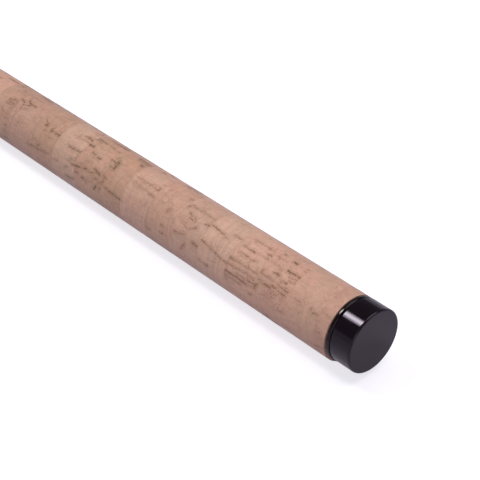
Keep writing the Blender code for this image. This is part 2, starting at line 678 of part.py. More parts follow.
def guide_frame_mesh(name, guide, bore, stop_radius, bore_length):
    """Sleeve, stop collar, metal ring and three legs in one piece of metal."""
    sleeve_radius = bore + guide.sleeve_wall
    centre_y = guide_centre_y(guide, bore)
    ring_x = guide.sleeve_length - guide.setback
    half_width = 0.5 * guide.ring_width
    hole_radius = guide.ring_radius - guide.holder_wall
    stop = max(stop_radius, sleeve_radius + MIN_STOP_HEIGHT)

    sleeve = turned(name, [(0.0, stop), (guide.stop_width, stop), (guide.stop_width, sleeve_radius),
                           (guide.sleeve_length, sleeve_radius)], guide.sides, hollow=False)
    disc = turned(f"{name}_disc", [(ring_x - half_width, guide.ring_radius),
                                   (ring_x + half_width, guide.ring_radius)],
                  guide.sides, hollow=False, centre_y=centre_y)

    middle = guide.ring_radius - 0.5 * guide.holder_wall
    foot_depth = 0.5 * (bore + sleeve_radius)
    rear_x = guide.stop_width + guide.leg_radius
    brace = bar(f"{name}_brace", Vector((rear_x, -foot_depth, 0.0)),
                Vector((ring_x, centre_y + middle, 0.0)), guide.leg_radius)
    joined = [disc, brace]
    for side in (-1.0, 1.0):
        down = math.cos(LEG_SPREAD)
        across = side * math.sin(LEG_SPREAD)
        foot = Vector((ring_x, -foot_depth * down, foot_depth * across))
        top = Vector((ring_x, centre_y + middle * down, middle * across))
        joined.append(bar(f"{name}_leg_{side:.0f}", foot, top, guide.leg_radius))

    bore_cut = turned(f"{name}_bore", [(-CUT_MARGIN, bore), (bore_length, bore)],
                      guide.sides, hollow=False)
    hole_cut = turned(f"{name}_hole", [(ring_x - guide.ring_width, hole_radius),
                                       (ring_x + guide.ring_width, hole_radius)],
                      guide.sides, hollow=False, centre_y=centre_y)
    return combine(name, sleeve, joined, [bore_cut, hole_cut])


def ceramic_ring_mesh(name, guide, bore):
    """The ceramic lining that the line runs on, with a rounded section."""
    centre_y = guide_centre_y(guide, bore)
    outer = guide.ring_radius - guide.holder_wall - RING_SEAT_GAP
    middle = outer - 0.5 * guide.ceramic_wall
    ring_x = guide.sleeve_length - guide.setback
    flat_side = math.cos(math.pi / CERAMIC_SIDES)
    profile = []
    for index in range(CERAMIC_SIDES):
        angle = 2.0 * math.pi * (index + 0.5) / CERAMIC_SIDES
        profile.append((ring_x + 0.5 * guide.ring_width * math.sin(angle),
                        middle + 0.5 * guide.ceramic_wall * math.cos(angle) / flat_side))
    return turned(name, profile, guide.sides, centre_y=centre_y)


def make_guide(name, guide, body, x, bore, stop_radius, end_wall=0.0):
    """A guide's metal frame and its ceramic ring. end_wall is the wall left ahead of a blind bore."""
    metal = principled(f"{name}_steel", (0.30, 0.30, 0.32), 0.28, 1.0)
    ceramic = principled(f"{name}_ceramic", (0.10, 0.105, 0.12), 0.15)
    bore_length = guide.sleeve_length + (-end_wall if end_wall else CUT_MARGIN)
    frame = guide_frame_mesh(f"{name}_frame", guide, bore, stop_radius, bore_length)
    add_piece(f"{name}_frame", frame, body, x, metal)
    add_piece(f"{name}_ring", ceramic_ring_mesh(f"{name}_ring", guide, bore), body, x, ceramic)


def make_guides(bodies):
    """Fixed guides on the three tubes, two floating guides and the tip-top."""
    make_guide("guide_1", GUIDE_1, bodies["section_1"], GUIDE_1_X,
               SECTION_1_TIP + GLUE_GAP, HANDLE_TIP - HANDLE_WALL + GUIDE_1.stop_height)
    make_guide("guide_2", GUIDE_2, bodies["section_2"], GUIDE_2_X,
               SECTION_2_TIP + GLUE_GAP, SECTION_1_TIP - SECTION_1_WALL + GUIDE_2.stop_height)
    make_guide("guide_3", GUIDE_3, bodies["section_3"], GUIDE_3_X,
               SECTION_3_TIP + GLUE_GAP, SECTION_2_TIP - SECTION_2_WALL + GUIDE_3.stop_height)

    seat_a = tip_blank_radius(FLOAT_A_X + FLOAT_A_RATIO * TIP_TRAVEL) + FLOAT_CLEARANCE
    seat_b = tip_blank_radius(FLOAT_B_X + FLOAT_B_RATIO * TIP_TRAVEL) + FLOAT_CLEARANCE
    stop = SECTION_3_TIP - SECTION_3_WALL + FLOATING_GUIDE_A.stop_height
    make_guide("floating_guide_a", FLOATING_GUIDE_A, bodies["floating_guide_a"], FLOAT_A_X, seat_a, stop)
    make_guide("floating_guide_b", FLOATING_GUIDE_B, bodies["floating_guide_b"], FLOAT_B_X, seat_b, stop)
    bore = tip_blank_radius(TIP_TOP_X) + GLUE_GAP
    make_guide("tip_top", TIP_TOP, bodies["tip_section"], TIP_TOP_X,
               bore, bore + TIP_TOP.sleeve_wall + TIP_TOP.stop_height, end_wall=TIP_TOP_END_WALL)


def main():
    """Clear the scene and build every piece on its body."""
    for leftover in list(bpy.data.objects):
        bpy.data.objects.remove(leftover)
    bodies = {"handle": add_body("handle", 0.0)}
    cap_out = (-CAP_TURNS * CAP_THREAD_PITCH, 0.0)
    hood_travel = (-NUT_TURNS_TO_CLAMP * SEAT_THREAD_PITCH, NUT_TURNS_TO_OPEN * SEAT_THREAD_PITCH)
    nut_turns = (-NUT_TURNS_TO_OPEN, NUT_TURNS_TO_CLAMP)
    tree = (
        ("cap_washer", WASHER_X, "handle", cap_out, None),
        ("butt_cap", 0.0, "cap_washer", None, (0, CAP_TURNS)),
        ("sliding_hood", SLIDING_HOOD_X, "handle", hood_travel, None),
        ("locking_nut", NUT_X, "sliding_hood", None, nut_turns),
        ("section_1", SECTION_BUTT_X, "handle", (0.0, SECTION_1_TRAVEL), None),
        ("section_2", SECTION_BUTT_X, "section_1", (0.0, SECTION_2_TRAVEL), None),
        ("section_3", SECTION_BUTT_X, "section_2", (0.0, SECTION_3_TRAVEL), None),
        ("tip_section", SECTION_BUTT_X, "section_3", (0.0, TIP_TRAVEL), None),
        ("floating_guide_a", FLOAT_A_X, "tip_section", (FLOAT_A_RATIO * TIP_TRAVEL, 0.0), None),
        ("floating_guide_b", FLOAT_B_X, "tip_section", (FLOAT_B_RATIO * TIP_TRAVEL, 0.0), None),
    )
    for name, x, parent, travel, turns in tree:
        bodies[name] = add_body(name, x, bodies[parent], travel, turns)
    make_handle_blank(bodies["handle"])
    make_grips(bodies["handle"])
    make_butt(bodies)
    make_reel_seat(bodies)
    make_sections(bodies)
    make_guides(bodies)


main()
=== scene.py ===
# %% [markdown]
# # A telescopic spinning rod
# The rod lies closed on a white studio floor, seen from behind its butt. A row of cork rings makes
# the grip, and a glossy black cap closes it. The rest of the rod runs away from the camera: the reel
# seat, the foregrip, and the blanks that slide into one another.
#
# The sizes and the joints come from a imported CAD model. This lesson dresses that model: each piece
# gets a finer mesh where its shape shows, and a procedural finish.

import math

import bmesh
import bpy
import numpy as np
from mathutils import Matrix, Vector


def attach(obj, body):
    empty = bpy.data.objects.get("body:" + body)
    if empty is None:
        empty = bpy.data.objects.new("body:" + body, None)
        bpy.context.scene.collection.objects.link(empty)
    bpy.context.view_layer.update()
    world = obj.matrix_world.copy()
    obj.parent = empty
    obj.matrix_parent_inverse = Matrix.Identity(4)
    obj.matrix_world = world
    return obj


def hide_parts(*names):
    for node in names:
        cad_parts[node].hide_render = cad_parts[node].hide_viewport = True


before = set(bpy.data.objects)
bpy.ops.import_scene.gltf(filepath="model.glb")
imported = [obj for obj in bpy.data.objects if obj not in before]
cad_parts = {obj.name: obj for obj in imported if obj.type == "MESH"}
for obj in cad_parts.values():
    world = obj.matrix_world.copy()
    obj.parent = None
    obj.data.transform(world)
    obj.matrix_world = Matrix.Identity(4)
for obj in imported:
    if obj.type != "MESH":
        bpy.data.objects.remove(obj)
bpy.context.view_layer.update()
MM = 0.001

# %% [markdown]
# ## Node helpers
# Every tree below is built from a few calls: add a node, and give each of its inputs a number or
# another node's output. An output is wrapped in a small class, so that a sum in a tree reads like a
# sum. The same helpers serve geometry trees, shader groups and materials.

# %% Helpers for node trees
class Value:
    """A node's output. Arithmetic on it adds Math nodes to its tree."""

    def __init__(self, socket):
        self.socket, self.tree = socket, socket.id_data

    def __add__(self, other):
        return maths("ADD", self, other)

    def __sub__(self, other):
        return maths("SUBTRACT", self, other)

    def __rsub__(self, other):
        return maths("SUBTRACT", other, self)

    def __mul__(self, other):
        return maths("MULTIPLY", self, other)

    def __truediv__(self, other):
        return maths("DIVIDE", self, other)

    __radd__, __rmul__ = __add__, __mul__


def tree_of(*values):
    """The tree that the first node output among these values belongs to."""
    return next(value.tree for value in values if isinstance(value, Value))


def plug(value, socket):
    """Feeds a socket from a node's output, or sets it to a value. A colour may lack its alpha."""
    if isinstance(value, Value):
        value.tree.links.new(value.socket, socket)
    elif socket.type == "RGBA" and len(value) == 3:
        socket.default_value = (*value, 1.0)
    else:
        socket.default_value = value


def add_node(tree, kind, inputs=None, **settings):
    """Adds a node, sets its properties, and fills its inputs by name or by number."""
    node = tree.nodes.new(kind)
    for name, value in settings.items():
        setattr(node, name, value)
    for key, value in (inputs or {}).items():
        plug(value, node.inputs[key])
    return node


def add(tree, kind, inputs=None, output=0, **settings):
    """Adds a node and returns one of its outputs."""
    return Value(add_node(tree, kind, inputs, **settings).outputs[output])


def maths(operation, *values, clamp=False):
    """One Math node's result."""
    return add(tree_of(*values), "ShaderNodeMath", dict(enumerate(values)), operation=operation,
               use_clamp=clamp)


def vector_maths(operation, inputs):
    """One Vector Math node's result: a number for a length, a vector for the rest."""
    output = 1 if operation == "LENGTH" else 0
    return add(tree_of(*inputs.values()), "ShaderNodeVectorMath", inputs, output, operation=operation)


def split(vector):
    """A vector's three parts."""
    return [Value(part) for part in add_node(vector.tree, "ShaderNodeSeparateXYZ", {0: vector}).outputs]


def combine(x, y=0.0, z=0.0):
    """A vector from its three parts."""
    return add(tree_of(x, y, z), "ShaderNodeCombineXYZ", {0: x, 1: y, 2: z})


def remap(value, low, high, to_low=0.0, to_high=1.0):
    """A soft step: value low gives to_low, value high gives to_high, with an S curve between."""
    ends = {"Value": value, "From Min": low, "From Max": high, "To Min": to_low, "To Max": to_high}
    return add(value.tree, "ShaderNodeMapRange", ends, interpolation_type="SMOOTHSTEP")


FLOAT, INTEGER, VECTOR = "NodeSocketFloat", "NodeSocketInt", "NodeSocketVector"
OBJECT, MATERIAL, GEOMETRY = "NodeSocketObject", "NodeSocketMaterial", "NodeSocketGeometry"


def new_tree(name, kind, inputs, output, output_type):
    """A node tree with named sockets. Returns it, its inputs by name, and the socket it ends in."""
    tree = bpy.data.node_groups.new(name, kind)
    for label, socket_type, value in inputs:
        socket = tree.interface.new_socket(name=label, in_out="INPUT", socket_type=socket_type)
        if value is not None:
            socket.default_value = value
    tree.interface.new_socket(name=output, in_out="OUTPUT", socket_type=output_type)
    given = {socket.name: Value(socket) for socket in tree.nodes.new("NodeGroupInput").outputs}
    return tree, given, tree.nodes.new("NodeGroupOutput").inputs[0]


def geometry_tree(name, inputs):
    """A Geometry Nodes tree that takes and gives a mesh."""
    sockets = [("Geometry", GEOMETRY, None), *inputs, ("Material", MATERIAL, None)]
    return new_tree(name, "GeometryNodeTree", sockets, "Geometry", GEOMETRY)


def finish_tree(given, result, geometry):
    """Every geometry tree ends alike: a real mesh, smooth faces, a material."""
    tree = geometry.tree
    real = add(tree, "GeometryNodeRealizeInstances", {0: geometry})
    smooth = add(tree, "GeometryNodeSetShadeSmooth", {0: real})
    painted = add(tree, "GeometryNodeSetMaterial", {"Geometry": smooth, "Material": given["Material"]})
    plug(painted, result)


# %% Helpers for modifiers and meshes
SHARP = math.radians(35.0)


def run_tree(obj, tree, **values):
    """Adds a tree to an object as a modifier. Each value goes to the input of that name."""
    modifier = obj.modifiers.new(tree.name, "NODES")
    modifier.node_group = tree
    identifiers = {item.name: item.identifier for item in tree.interface.items_tree
                   if item.item_type == "SOCKET" and item.in_out == "INPUT"}
    for label, value in values.items():
        modifier[identifiers[label.replace("_", " ")]] = value


def face_outwards(mesh):
    """Turns a closed mesh the right way round if its signed volume is negative."""
    solid = bmesh.new()
    solid.from_mesh(mesh)
    if solid.calc_volume(signed=True) < 0.0:
        mesh.flip_normals()
    solid.free()


def smooth_faces(mesh):
    """Smooth shading, with an edge left sharp where two faces meet at a clear angle."""
    mesh.shade_smooth()
    mesh.set_sharp_from_angle(angle=SHARP)


def freeze(obj):
    """Replaces an object's mesh by what its modifiers make of it, and drops the modifiers."""
    depsgraph = bpy.context.evaluated_depsgraph_get()
    mesh = bpy.data.meshes.new_from_object(
        obj.evaluated_get(depsgraph), preserve_all_data_layers=True, depsgraph=depsgraph)
    obj.modifiers.clear()
    obj.data = mesh
    mesh.name = obj.name
    material = next(material for material in mesh.materials if material)
    mesh.materials.clear()
    mesh.materials.append(material)
    mesh.polygons.foreach_set("material_index", [0] * len(mesh.polygons))
    face_outwards(mesh)
    smooth_faces(mesh)
    return obj


def mesh_object(name, points, edges=(), faces=()):
    """A new object with a mesh of these points, in metres, at the origin."""
    mesh = bpy.data.meshes.new(name)
    mesh.from_pydata([tuple(p) for p in points], edges, faces)
    obj = bpy.data.objects.new(name, mesh)
    bpy.context.scene.collection.objects.link(obj)
    return obj


def store_values(obj, name, values):
    """Gives each point of a mesh a named number."""
    obj.data.attributes.new(name, "FLOAT", "POINT").data.foreach_set("value", values)


def join(name, objects):
    """Joins meshes that sit at the origin into the first of them."""
    first = objects[0]
    mesh = bmesh.new()
    for obj in objects:
        mesh.from_mesh(obj.data)
    mesh.to_mesh(first.data)
    mesh.free()
    for obj in objects[1:]:
        bpy.data.objects.remove(obj)
    first.name = first.data.name = name
    smooth_faces(first.data)
    return first


pieces = []


def fit(obj, body, node):
    """Puts a finished piece on its body, in place of the CAD node that it stands for."""
    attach(obj, body)
    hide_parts(node)
    pieces.append(obj)


# %% [markdown]
# ## Shared surface effects
# Real finishes are never even. Three effects come back on almost every piece here, so each one is a
# shader group: fine lines that a lathe or a brushing wheel leaves round the axis, edges rubbed
# brighter by handling, and a thin uneven film from fingers. Each group puts out a plain value, and
# the material decides what it changes.

# %% Turning lines, rubbed edges and finger film
def noise(vector, scale, detail=2.0, roughness=0.5):
    """A 3-D noise value."""
    return add(vector.tree, "ShaderNodeTexNoise",
               {"Vector": vector, "Scale": scale, "Detail": detail, "Roughness": roughness})


def stretched_noise(vector, scale, detail=2.0, roughness=0.5, turn_by=(0.0, 0.0, 0.0)):
    """Noise with its own scale along each axis."""
    stretch = add(vector.tree, "ShaderNodeMapping",
                  {"Vector": vector, "Rotation": turn_by, "Scale": scale})
    return noise(stretch, 1.0, detail, roughness)


def attribute(tree, name):
    """A number that the mesh carries."""
    return add(tree, "ShaderNodeAttribute", output="Fac", attribute_name=name)


def shader_group(name, inputs, output):
    """A shader node group that works on coordinates and gives one value."""
    return new_tree(name, "ShaderNodeTree", [("Vector", VECTOR, None), *inputs], output, FLOAT)


def turning_lines_group():
    """Lines round the rod's axis. They vary along the rod and with the radius, hardly round it."""
    tree, given, result = shader_group("Turning lines", [("Lines per mm", FLOAT, 4.0)], "Value")
    place, fine = given["Vector"], given["Lines per mm"]
    x, y, z = split(place)
    radius = vector_maths("LENGTH", {0: combine(0.0, y, z)})
    where = combine(x * fine, radius * fine, noise(place, 0.12, 1.0) * 1.5)
    plug(noise(where, 1.0, 3.0, 0.6), result)
    return tree


def rubbed_edges_group():
    """A broken mask on the corners that the mesh marks with its edge attribute."""
    tree, given, result = shader_group(
        "Rubbed edges", [("Amount", FLOAT, 0.5), ("Scale", FLOAT, 1.5)], "Mask")
    patches = remap(noise(given["Vector"], given["Scale"], 4.0, 0.65), 0.35, 0.62)
    plug(attribute(tree, "edge") * patches * given["Amount"], result)
    return tree


def finger_film_group():
    """Soft uneven patches with fine scratches in them, for a roughness to add."""
    tree, given, result = shader_group(
        "Finger film", [("Film", FLOAT, 0.06), ("Scratches", FLOAT, 0.05)], "Value")
    film = remap(noise(given["Vector"], 0.16, 3.0), 0.4, 0.7)
    scratch = stretched_noise(given["Vector"], (0.5, 9.0, 5.0), turn_by=(0.3, 0.2, 0.6))
    total = film * given["Film"] + remap(scratch, 0.62, 0.72) * given["Scratches"]
    plug(total, result)
    return tree


TURNING_LINES = turning_lines_group()
RUBBED_EDGES = rubbed_edges_group()
FINGER_FILM = finger_film_group()
print("shader groups:", TURNING_LINES.name, RUBBED_EDGES.name, FINGER_FILM.name)


# %% Helpers for materials
def new_material(name, **constants):
    """A material with a Principled BSDF, its constants set on its own sockets, and mm coordinates."""
    material = bpy.data.materials.new(name)
    material.use_nodes = True
    tree = material.node_tree
    shader = tree.nodes["Principled BSDF"]
    for label, value in constants.items():
        plug(value, shader.inputs[label.replace("_", " ")])
    place = add(tree, "ShaderNodeTexCoord", output="Object")
    return material, shader, vector_maths("SCALE", {0: place, "Scale": 1.0 / MM})


def effect(shared, place, **inputs):
    """Places a shared effect in a material."""
    inputs = {label.replace("_", " "): value for label, value in inputs.items()}
    return add(place.tree, "ShaderNodeGroup", {"Vector": place, **inputs}, node_tree=shared)


def mix_colour(factor, first, second, blend="MIX"):
    """A mix of two colours."""
    return add(tree_of(factor, first), "ShaderNodeMix", {0: factor, 6: first, 7: second}, 2,
               data_type="RGBA", blend_type=blend, clamp_factor=True)


def finish_surface(shader, colour, roughness, height, depth):
    """Every finish ends alike: a colour, a roughness, and a relief where height 1 stands depth proud."""
    relief = add(height.tree, "ShaderNodeBump", {"Height": height, "Distance": depth, "Strength": 1.0})
    for label, value in (("Base Color", colour), ("Roughness", roughness), ("Normal", relief)):
        plug(value, shader.inputs[label])


# %% [markdown]
# ## Cork
# Rod cork is punched out of bark, with the hole running the way the bark grew. The yearly layers
# become faint bands across each ring, and the pores, which run inwards through the bark, come out as
# dark brown lines along the rod. They end where a ring ends, because the next ring is another piece
# of bark with its own tone.
#
# An image could be wrapped round the grip, but a solid pattern on Object coordinates has no seam.
# The pores need care, because the eye goes to them, so each ring's mesh carries how far each point is
# from the nearest pore, and the material frays that distance with noise into ragged edges. A faint
# cool sheen stands for the fine dust of a sanded surface.

# %% The cork's finish
def make_cork():
    """Cork that reads its ring's looks and pores from the mesh."""
    material, shader, place = new_material(
        "cork", IOR=1.42, Specular_IOR_Level=0.35, Sheen_Weight=0.32, Sheen_Roughness=0.35,
        Sheen_Tint=(0.76, 0.88, 1.0))
    tree = place.tree
    shift = attribute(tree, "ring") * 31.7
    bark = vector_maths("ADD", {0: place, 1: combine(0.0, shift, shift)})

    def layer(along, across, detail=2.0, roughness=0.5):
        return stretched_noise(bark, (along, across, across), detail, roughness)

    # The yearly bands wander a little along the rod.
    wander = (layer(0.07, 0.12, 1.0) - 0.5) * 4.5
    year = combine((split(bark)[0] + wander) * 1.3, shift)
    bands, banding = noise(year, 1.0, 3.0, 0.7), attribute(tree, "banding") * 0.62 + 0.10
    mottle, flecks = layer(0.16, 0.26, 3.0), layer(0.55, 0.9, 3.0, 0.6)
    streaks, cells = layer(0.25, 2.0, 3.0, 0.6), layer(4.0, 5.5)
    light = 1.0 + attribute(tree, "tone") * 0.095
    for value, amount in ((mottle, 0.22), (bands, banding), (flecks, 0.34), (streaks, 0.32),
                          (cells, 0.20)):
        light = light + (value - 0.5) * amount
    blush = attribute(tree, "redness") * 0.7 + (layer(0.2, 0.16) - 0.5) * 2.6
    base = mix_colour(remap(blush, -1.5, 1.5), (0.515, 0.326, 0.238), (0.575, 0.312, 0.232))
    blue = light * (attribute(tree, "straw") * -0.03 + 1.0)
    lit = mix_colour(1.0, base, combine(light, light, blue), "MULTIPLY")

    # A pore's edge is frayed, its line is broken, and it stains the cork beside it.
    strength = attribute(tree, "pore_strength")
    depth = attribute(tree, "pore") + (layer(1.2, 2.3, 4.0, 0.75) - 0.5) * 1.7
    broken = remap(layer(1.3, 1.9), 0.34, 0.56, 0.35, 1.0)
    pore = remap(depth, 0.20, -0.06) * strength * broken
    stain = remap(depth, 1.3, -0.1) * strength
    stained = mix_colour(stain * 0.42, lit, (0.31, 0.170, 0.095))

    # Crumbs lie thicker near the pores, and hair cracks run between some of the cells.
    specks = remap(layer(1.5, 3.2, 1.0) + stain * 0.16, 0.66, 0.76) * 0.6
    warp = add(tree, "ShaderNodeTexNoise",
               {"Vector": bark, "Scale": 0.5, "Detail": 4.0, "Roughness": 0.7}, "Color")
    cell_edge = add(tree, "ShaderNodeTexVoronoi",
                    {"Vector": vector_maths("ADD", {0: bark, 1: warp}), "Scale": 0.5},
                    "Distance", feature="DISTANCE_TO_EDGE")
    patches = remap(layer(0.13, 0.17, 1.0), 0.52, 0.64) * 0.26
    crack = remap(cell_edge, 0.10, 0.0) * patches

    dark = maths("MAXIMUM", pore, maths("MAXIMUM", specks, crack))
    pore_colour = mix_colour(remap(attribute(tree, "straw"), -0.9, 1.2),
                             (0.195, 0.072, 0.050), (0.130, 0.068, 0.038))
    finish_surface(shader, mix_colour(dark, stained, pore_colour),
                   0.58 + dark * 0.25 + cells * 0.12, cells * 0.25 + streaks * 0.2 - dark * 0.9, 0.09 * MM)
    return material


CORK = make_cork()
print("material:", CORK.name, len(CORK.node_tree.nodes), "nodes")

# %% [markdown]
# ## Black plastic and rubber
# The butt cap is turned from black plastic and polished. Its colour is close to nothing, so what
# shows is what it mirrors: the pale floor in its flat end, and one bright strip on its side. The
# reel seat and its nut are moulded from duller plastic, and the washer under the cap is rubber.

# %% The cap, the rubber and the seat's plastic
def make_gloss_black():
    """Polished black plastic with the faintest turning lines and finger marks."""
    material, shader, place = new_material("gloss_black", IOR=1.385, Specular_Tint=(0.96, 0.79, 1.0))
    lines = effect(TURNING_LINES, place, Lines_per_mm=5.0)
    rubbed = effect(RUBBED_EDGES, place, Amount=0.15, Scale=1.1)
    film = effect(FINGER_FILM, place, Film=0.035, Scratches=0.03)
    base = mix_colour(lines, (0.0044, 0.0020, 0.0038), (0.0064, 0.0032, 0.0058))
    finish_surface(shader, mix_colour(rubbed, base, (0.035, 0.033, 0.038)),
                   0.085 + film + rubbed * 0.2, lines, 0.0006 * MM)
    return material


def make_rubber():
    """Black rubber, moulded smooth, with dust in its grain."""
    material, shader, place = new_material("black_rubber", IOR=1.38, Specular_Tint=(1.0, 0.82, 0.88))
    grain = noise(place, 6.0, 3.0, 0.7)
    dust = remap(noise(place, 0.7, 4.0, 0.7), 0.45, 0.8)
    finish_surface(shader, mix_colour(dust, (0.0045, 0.0022, 0.0026), (0.014, 0.010, 0.010)),
                   0.06 + grain * 0.06, grain, 0.003 * MM)
    return material


def make_seat_plastic():
    """Moulded black plastic: satin, with a fine spark-eroded grain and rubbed corners."""
    material, shader, place = new_material("seat_plastic", IOR=1.52)
    grain = noise(place, 5.5, 2.0, 0.6)
    rubbed = effect(RUBBED_EDGES, place, Amount=0.6, Scale=0.8)
    film = effect(FINGER_FILM, place, Film=0.12, Scratches=0.06)
    cloud = mix_colour(noise(place, 0.1), (0.0085, 0.0085, 0.0095), (0.0145, 0.0145, 0.0155))
    finish_surface(shader, mix_colour(rubbed, cloud, (0.06, 0.06, 0.062)),
                   0.24 + film + grain * 0.1, grain, 0.012 * MM)
    return material


GLOSS_BLACK = make_gloss_black()
RUBBER = make_rubber()
SEAT_PLASTIC = make_seat_plastic()
print("materials:", GLOSS_BLACK.name, RUBBER.name, SEAT_PLASTIC.name)

# %% [markdown]
# ## Metals and ceramic
# Hoods and trim rings are brushed while they spin, so their lines run round them, and so does the
# blur of a highlight. The guides' frames are coated dark. Their rings are a hard ceramic that is
# polished until it shines, because the line runs over it.

# %% Steel, trim, guides and ceramic
def make_metal(name, colour, roughness, lines_per_mm, line_depth):
    """A metal with lines round its axis, rubbed edges and finger film."""
    material, shader, place = new_material(name, Metallic=1.0)
    lines = effect(TURNING_LINES, place, Lines_per_mm=lines_per_mm)
    rubbed = effect(RUBBED_EDGES, place, Amount=0.5, Scale=0.9)
    film = effect(FINGER_FILM, place, Film=0.10, Scratches=0.08)
    dull = tuple(0.82 * channel for channel in colour)
    bright = tuple(min(0.9, 1.35 * channel + 0.04) for channel in colour)
    finish_surface(shader, mix_colour(rubbed, mix_colour(lines, dull, colour), bright),
                   roughness + film + lines * 0.12, lines, line_depth)
    return material


def make_ceramic():
    """Dark polished ceramic with a faint cloud in it and a dusty film in places."""
    material, shader, place = new_material("ring_ceramic", IOR=1.75, Coat_Weight=0.3)
    cloud = mix_colour(noise(place, 0.9, 3.0), (0.065, 0.070, 0.082), (0.115, 0.122, 0.140))
    film = effect(FINGER_FILM, place, Film=0.05, Scratches=0.02)
    finish_surface(shader, cloud, 0.07 + film, noise(place, 7.0), 0.001 * MM)
    return material


HOOD_STEEL = make_metal("hood_steel", (0.60, 0.60, 0.625), 0.15, 9.0, 0.004 * MM)
TRIM = make_metal("gunmetal_trim", (0.15, 0.15, 0.17), 0.2, 8.0, 0.004 * MM)
GUIDE_STEEL = make_metal("guide_steel", (0.20, 0.20, 0.225), 0.17, 3.0, 0.002 * MM)
BUSH_ALUMINIUM = make_metal("bush_aluminium", (0.72, 0.72, 0.73), 0.3, 3.0, 0.01 * MM)
CERAMIC = make_ceramic()
print("metals:", HOOD_STEEL.name, TRIM.name, GUIDE_STEEL.name, BUSH_ALUMINIUM.name)

# %% [markdown]
# ## Carbon blank and whipping
# A blank is carbon cloth, rolled on a steel rod and bound with tape while it bakes. The tape leaves
# shallow spiral ridges, which show through the clear lacquer as a slow change of shine. The
# whipping is fine thread, wound tight and soaked in lacquer.

# %% Lacquered carbon and lacquered thread
TAPE_PITCH = 2.6


def make_carbon():
    """Lacquered carbon with the spiral that its binding tape leaves."""
    material, shader, place = new_material(
        "carbon_blank", Coat_Weight=1.0, Coat_Roughness=0.035, Coat_IOR=1.5)
    x, y, z = split(place)
    turns = x / TAPE_PITCH + maths("ARCTAN2", z, y) / math.tau
    ridge = maths("ABSOLUTE", maths("FRACT", turns) - 0.5)
    weave = stretched_noise(place, (0.35, 5.0, 5.0), 3.0, 0.7)
    dark = mix_colour(weave, (0.006, 0.006, 0.0072), (0.030, 0.031, 0.036))
    band = mix_colour(remap(ridge, 0.36, 0.5), dark, (0.034, 0.035, 0.041))
    film = effect(FINGER_FILM, place, Film=0.1, Scratches=0.05)
    finish_surface(shader, band, 0.32 + film,
                   remap(ridge, 0.2, 0.5) * 0.7 + weave * 0.15, 0.012 * MM)
    return material


def make_whipping():
    """Dark thread under a glossy coat that sinks a little between the turns."""
    material, shader, place = new_material(
        "lacquered_thread", Coat_Weight=1.0, Coat_Roughness=0.05, Coat_IOR=1.5)
    fibre = stretched_noise(place, (7.0, 1.2, 1.2), 3.0, 0.7)
    film = effect(FINGER_FILM, place, Film=0.08, Scratches=0.0)
    finish_surface(shader, mix_colour(fibre, (0.020, 0.006, 0.007), (0.085, 0.020, 0.022)),
                   0.4 + film, fibre, 0.01 * MM)
    return material


CARBON = make_carbon()
WHIPPING = make_whipping()
print("materials:", CARBON.name, WHIPPING.name)

# %% [markdown]
# ## A lathe made of nodes
# Most of the rod is turned, so one tree acts as the lathe. Its input mesh is only a chain of edges,
# the section of the piece, drawn in the plane of the axis. The tree lays out a grid with one row for
# each point of the section, reads that point by its index, and swings it round the axis.
#
# A Screw modifier would do the same. The tree is used because it can carry the section's edge
# attribute onto the grid, and a later tree can work on its result.

# %% The lathe tree
def sample(geometry, value, index, data_type="FLOAT"):
    """Reads a value at one point of a geometry, by the point's index."""
    return add(geometry.tree, "GeometryNodeSampleIndex",
               {"Geometry": geometry, "Value": value, "Index": index}, "Value", data_type=data_type,
               domain="POINT")


def named(tree, name):
    """A number that the mesh in hand carries at each point."""
    return add(tree, "GeometryNodeInputNamedAttribute", {"Name": name}, data_type="FLOAT")


def store(geometry, name, value):
    """Gives each point of a geometry a named number."""
    return add(geometry.tree, "GeometryNodeStoreNamedAttribute",
               {"Geometry": geometry, "Name": name, "Value": value}, data_type="FLOAT", domain="POINT")


def lathe_tree():
    """Swings the section round a line parallel to X, and closes its seam and poles."""
    tree, given, result = geometry_tree(
        "Lathe", [("Section points", INTEGER, 4), ("Around", INTEGER, 96), ("Centre y", FLOAT, 0.0)])
    section, around = given["Geometry"], given["Around"]
    columns = around + 1.0
    grid = add(tree, "GeometryNodeMeshGrid",
               {"Vertices X": given["Section points"], "Vertices Y": columns})
    index = add(tree, "GeometryNodeInputIndex")
    row = maths("FLOOR", (index + 0.5) / columns)
    angle = (index - row * columns) / around * math.tau
    position = add(tree, "GeometryNodeInputPosition")
    x, radius, _ = split(sample(section, position, row, "FLOAT_VECTOR"))
    place = combine(x, given["Centre y"] + radius * maths("COSINE", angle),
                    radius * maths("SINE", angle))
    swung = add(tree, "GeometryNodeSetPosition", {"Geometry": grid, "Position": place})
    marked = store(swung, "edge", sample(section, named(tree, "edge"), row))
    closed = add(tree, "GeometryNodeMergeByDistance", {"Geometry": marked, "Distance": 0.0005 * MM})
    finish_tree(given, result, closed)
    return tree


LATHE = lathe_tree()
print("tree:", LATHE.name, len(LATHE.nodes), "nodes")


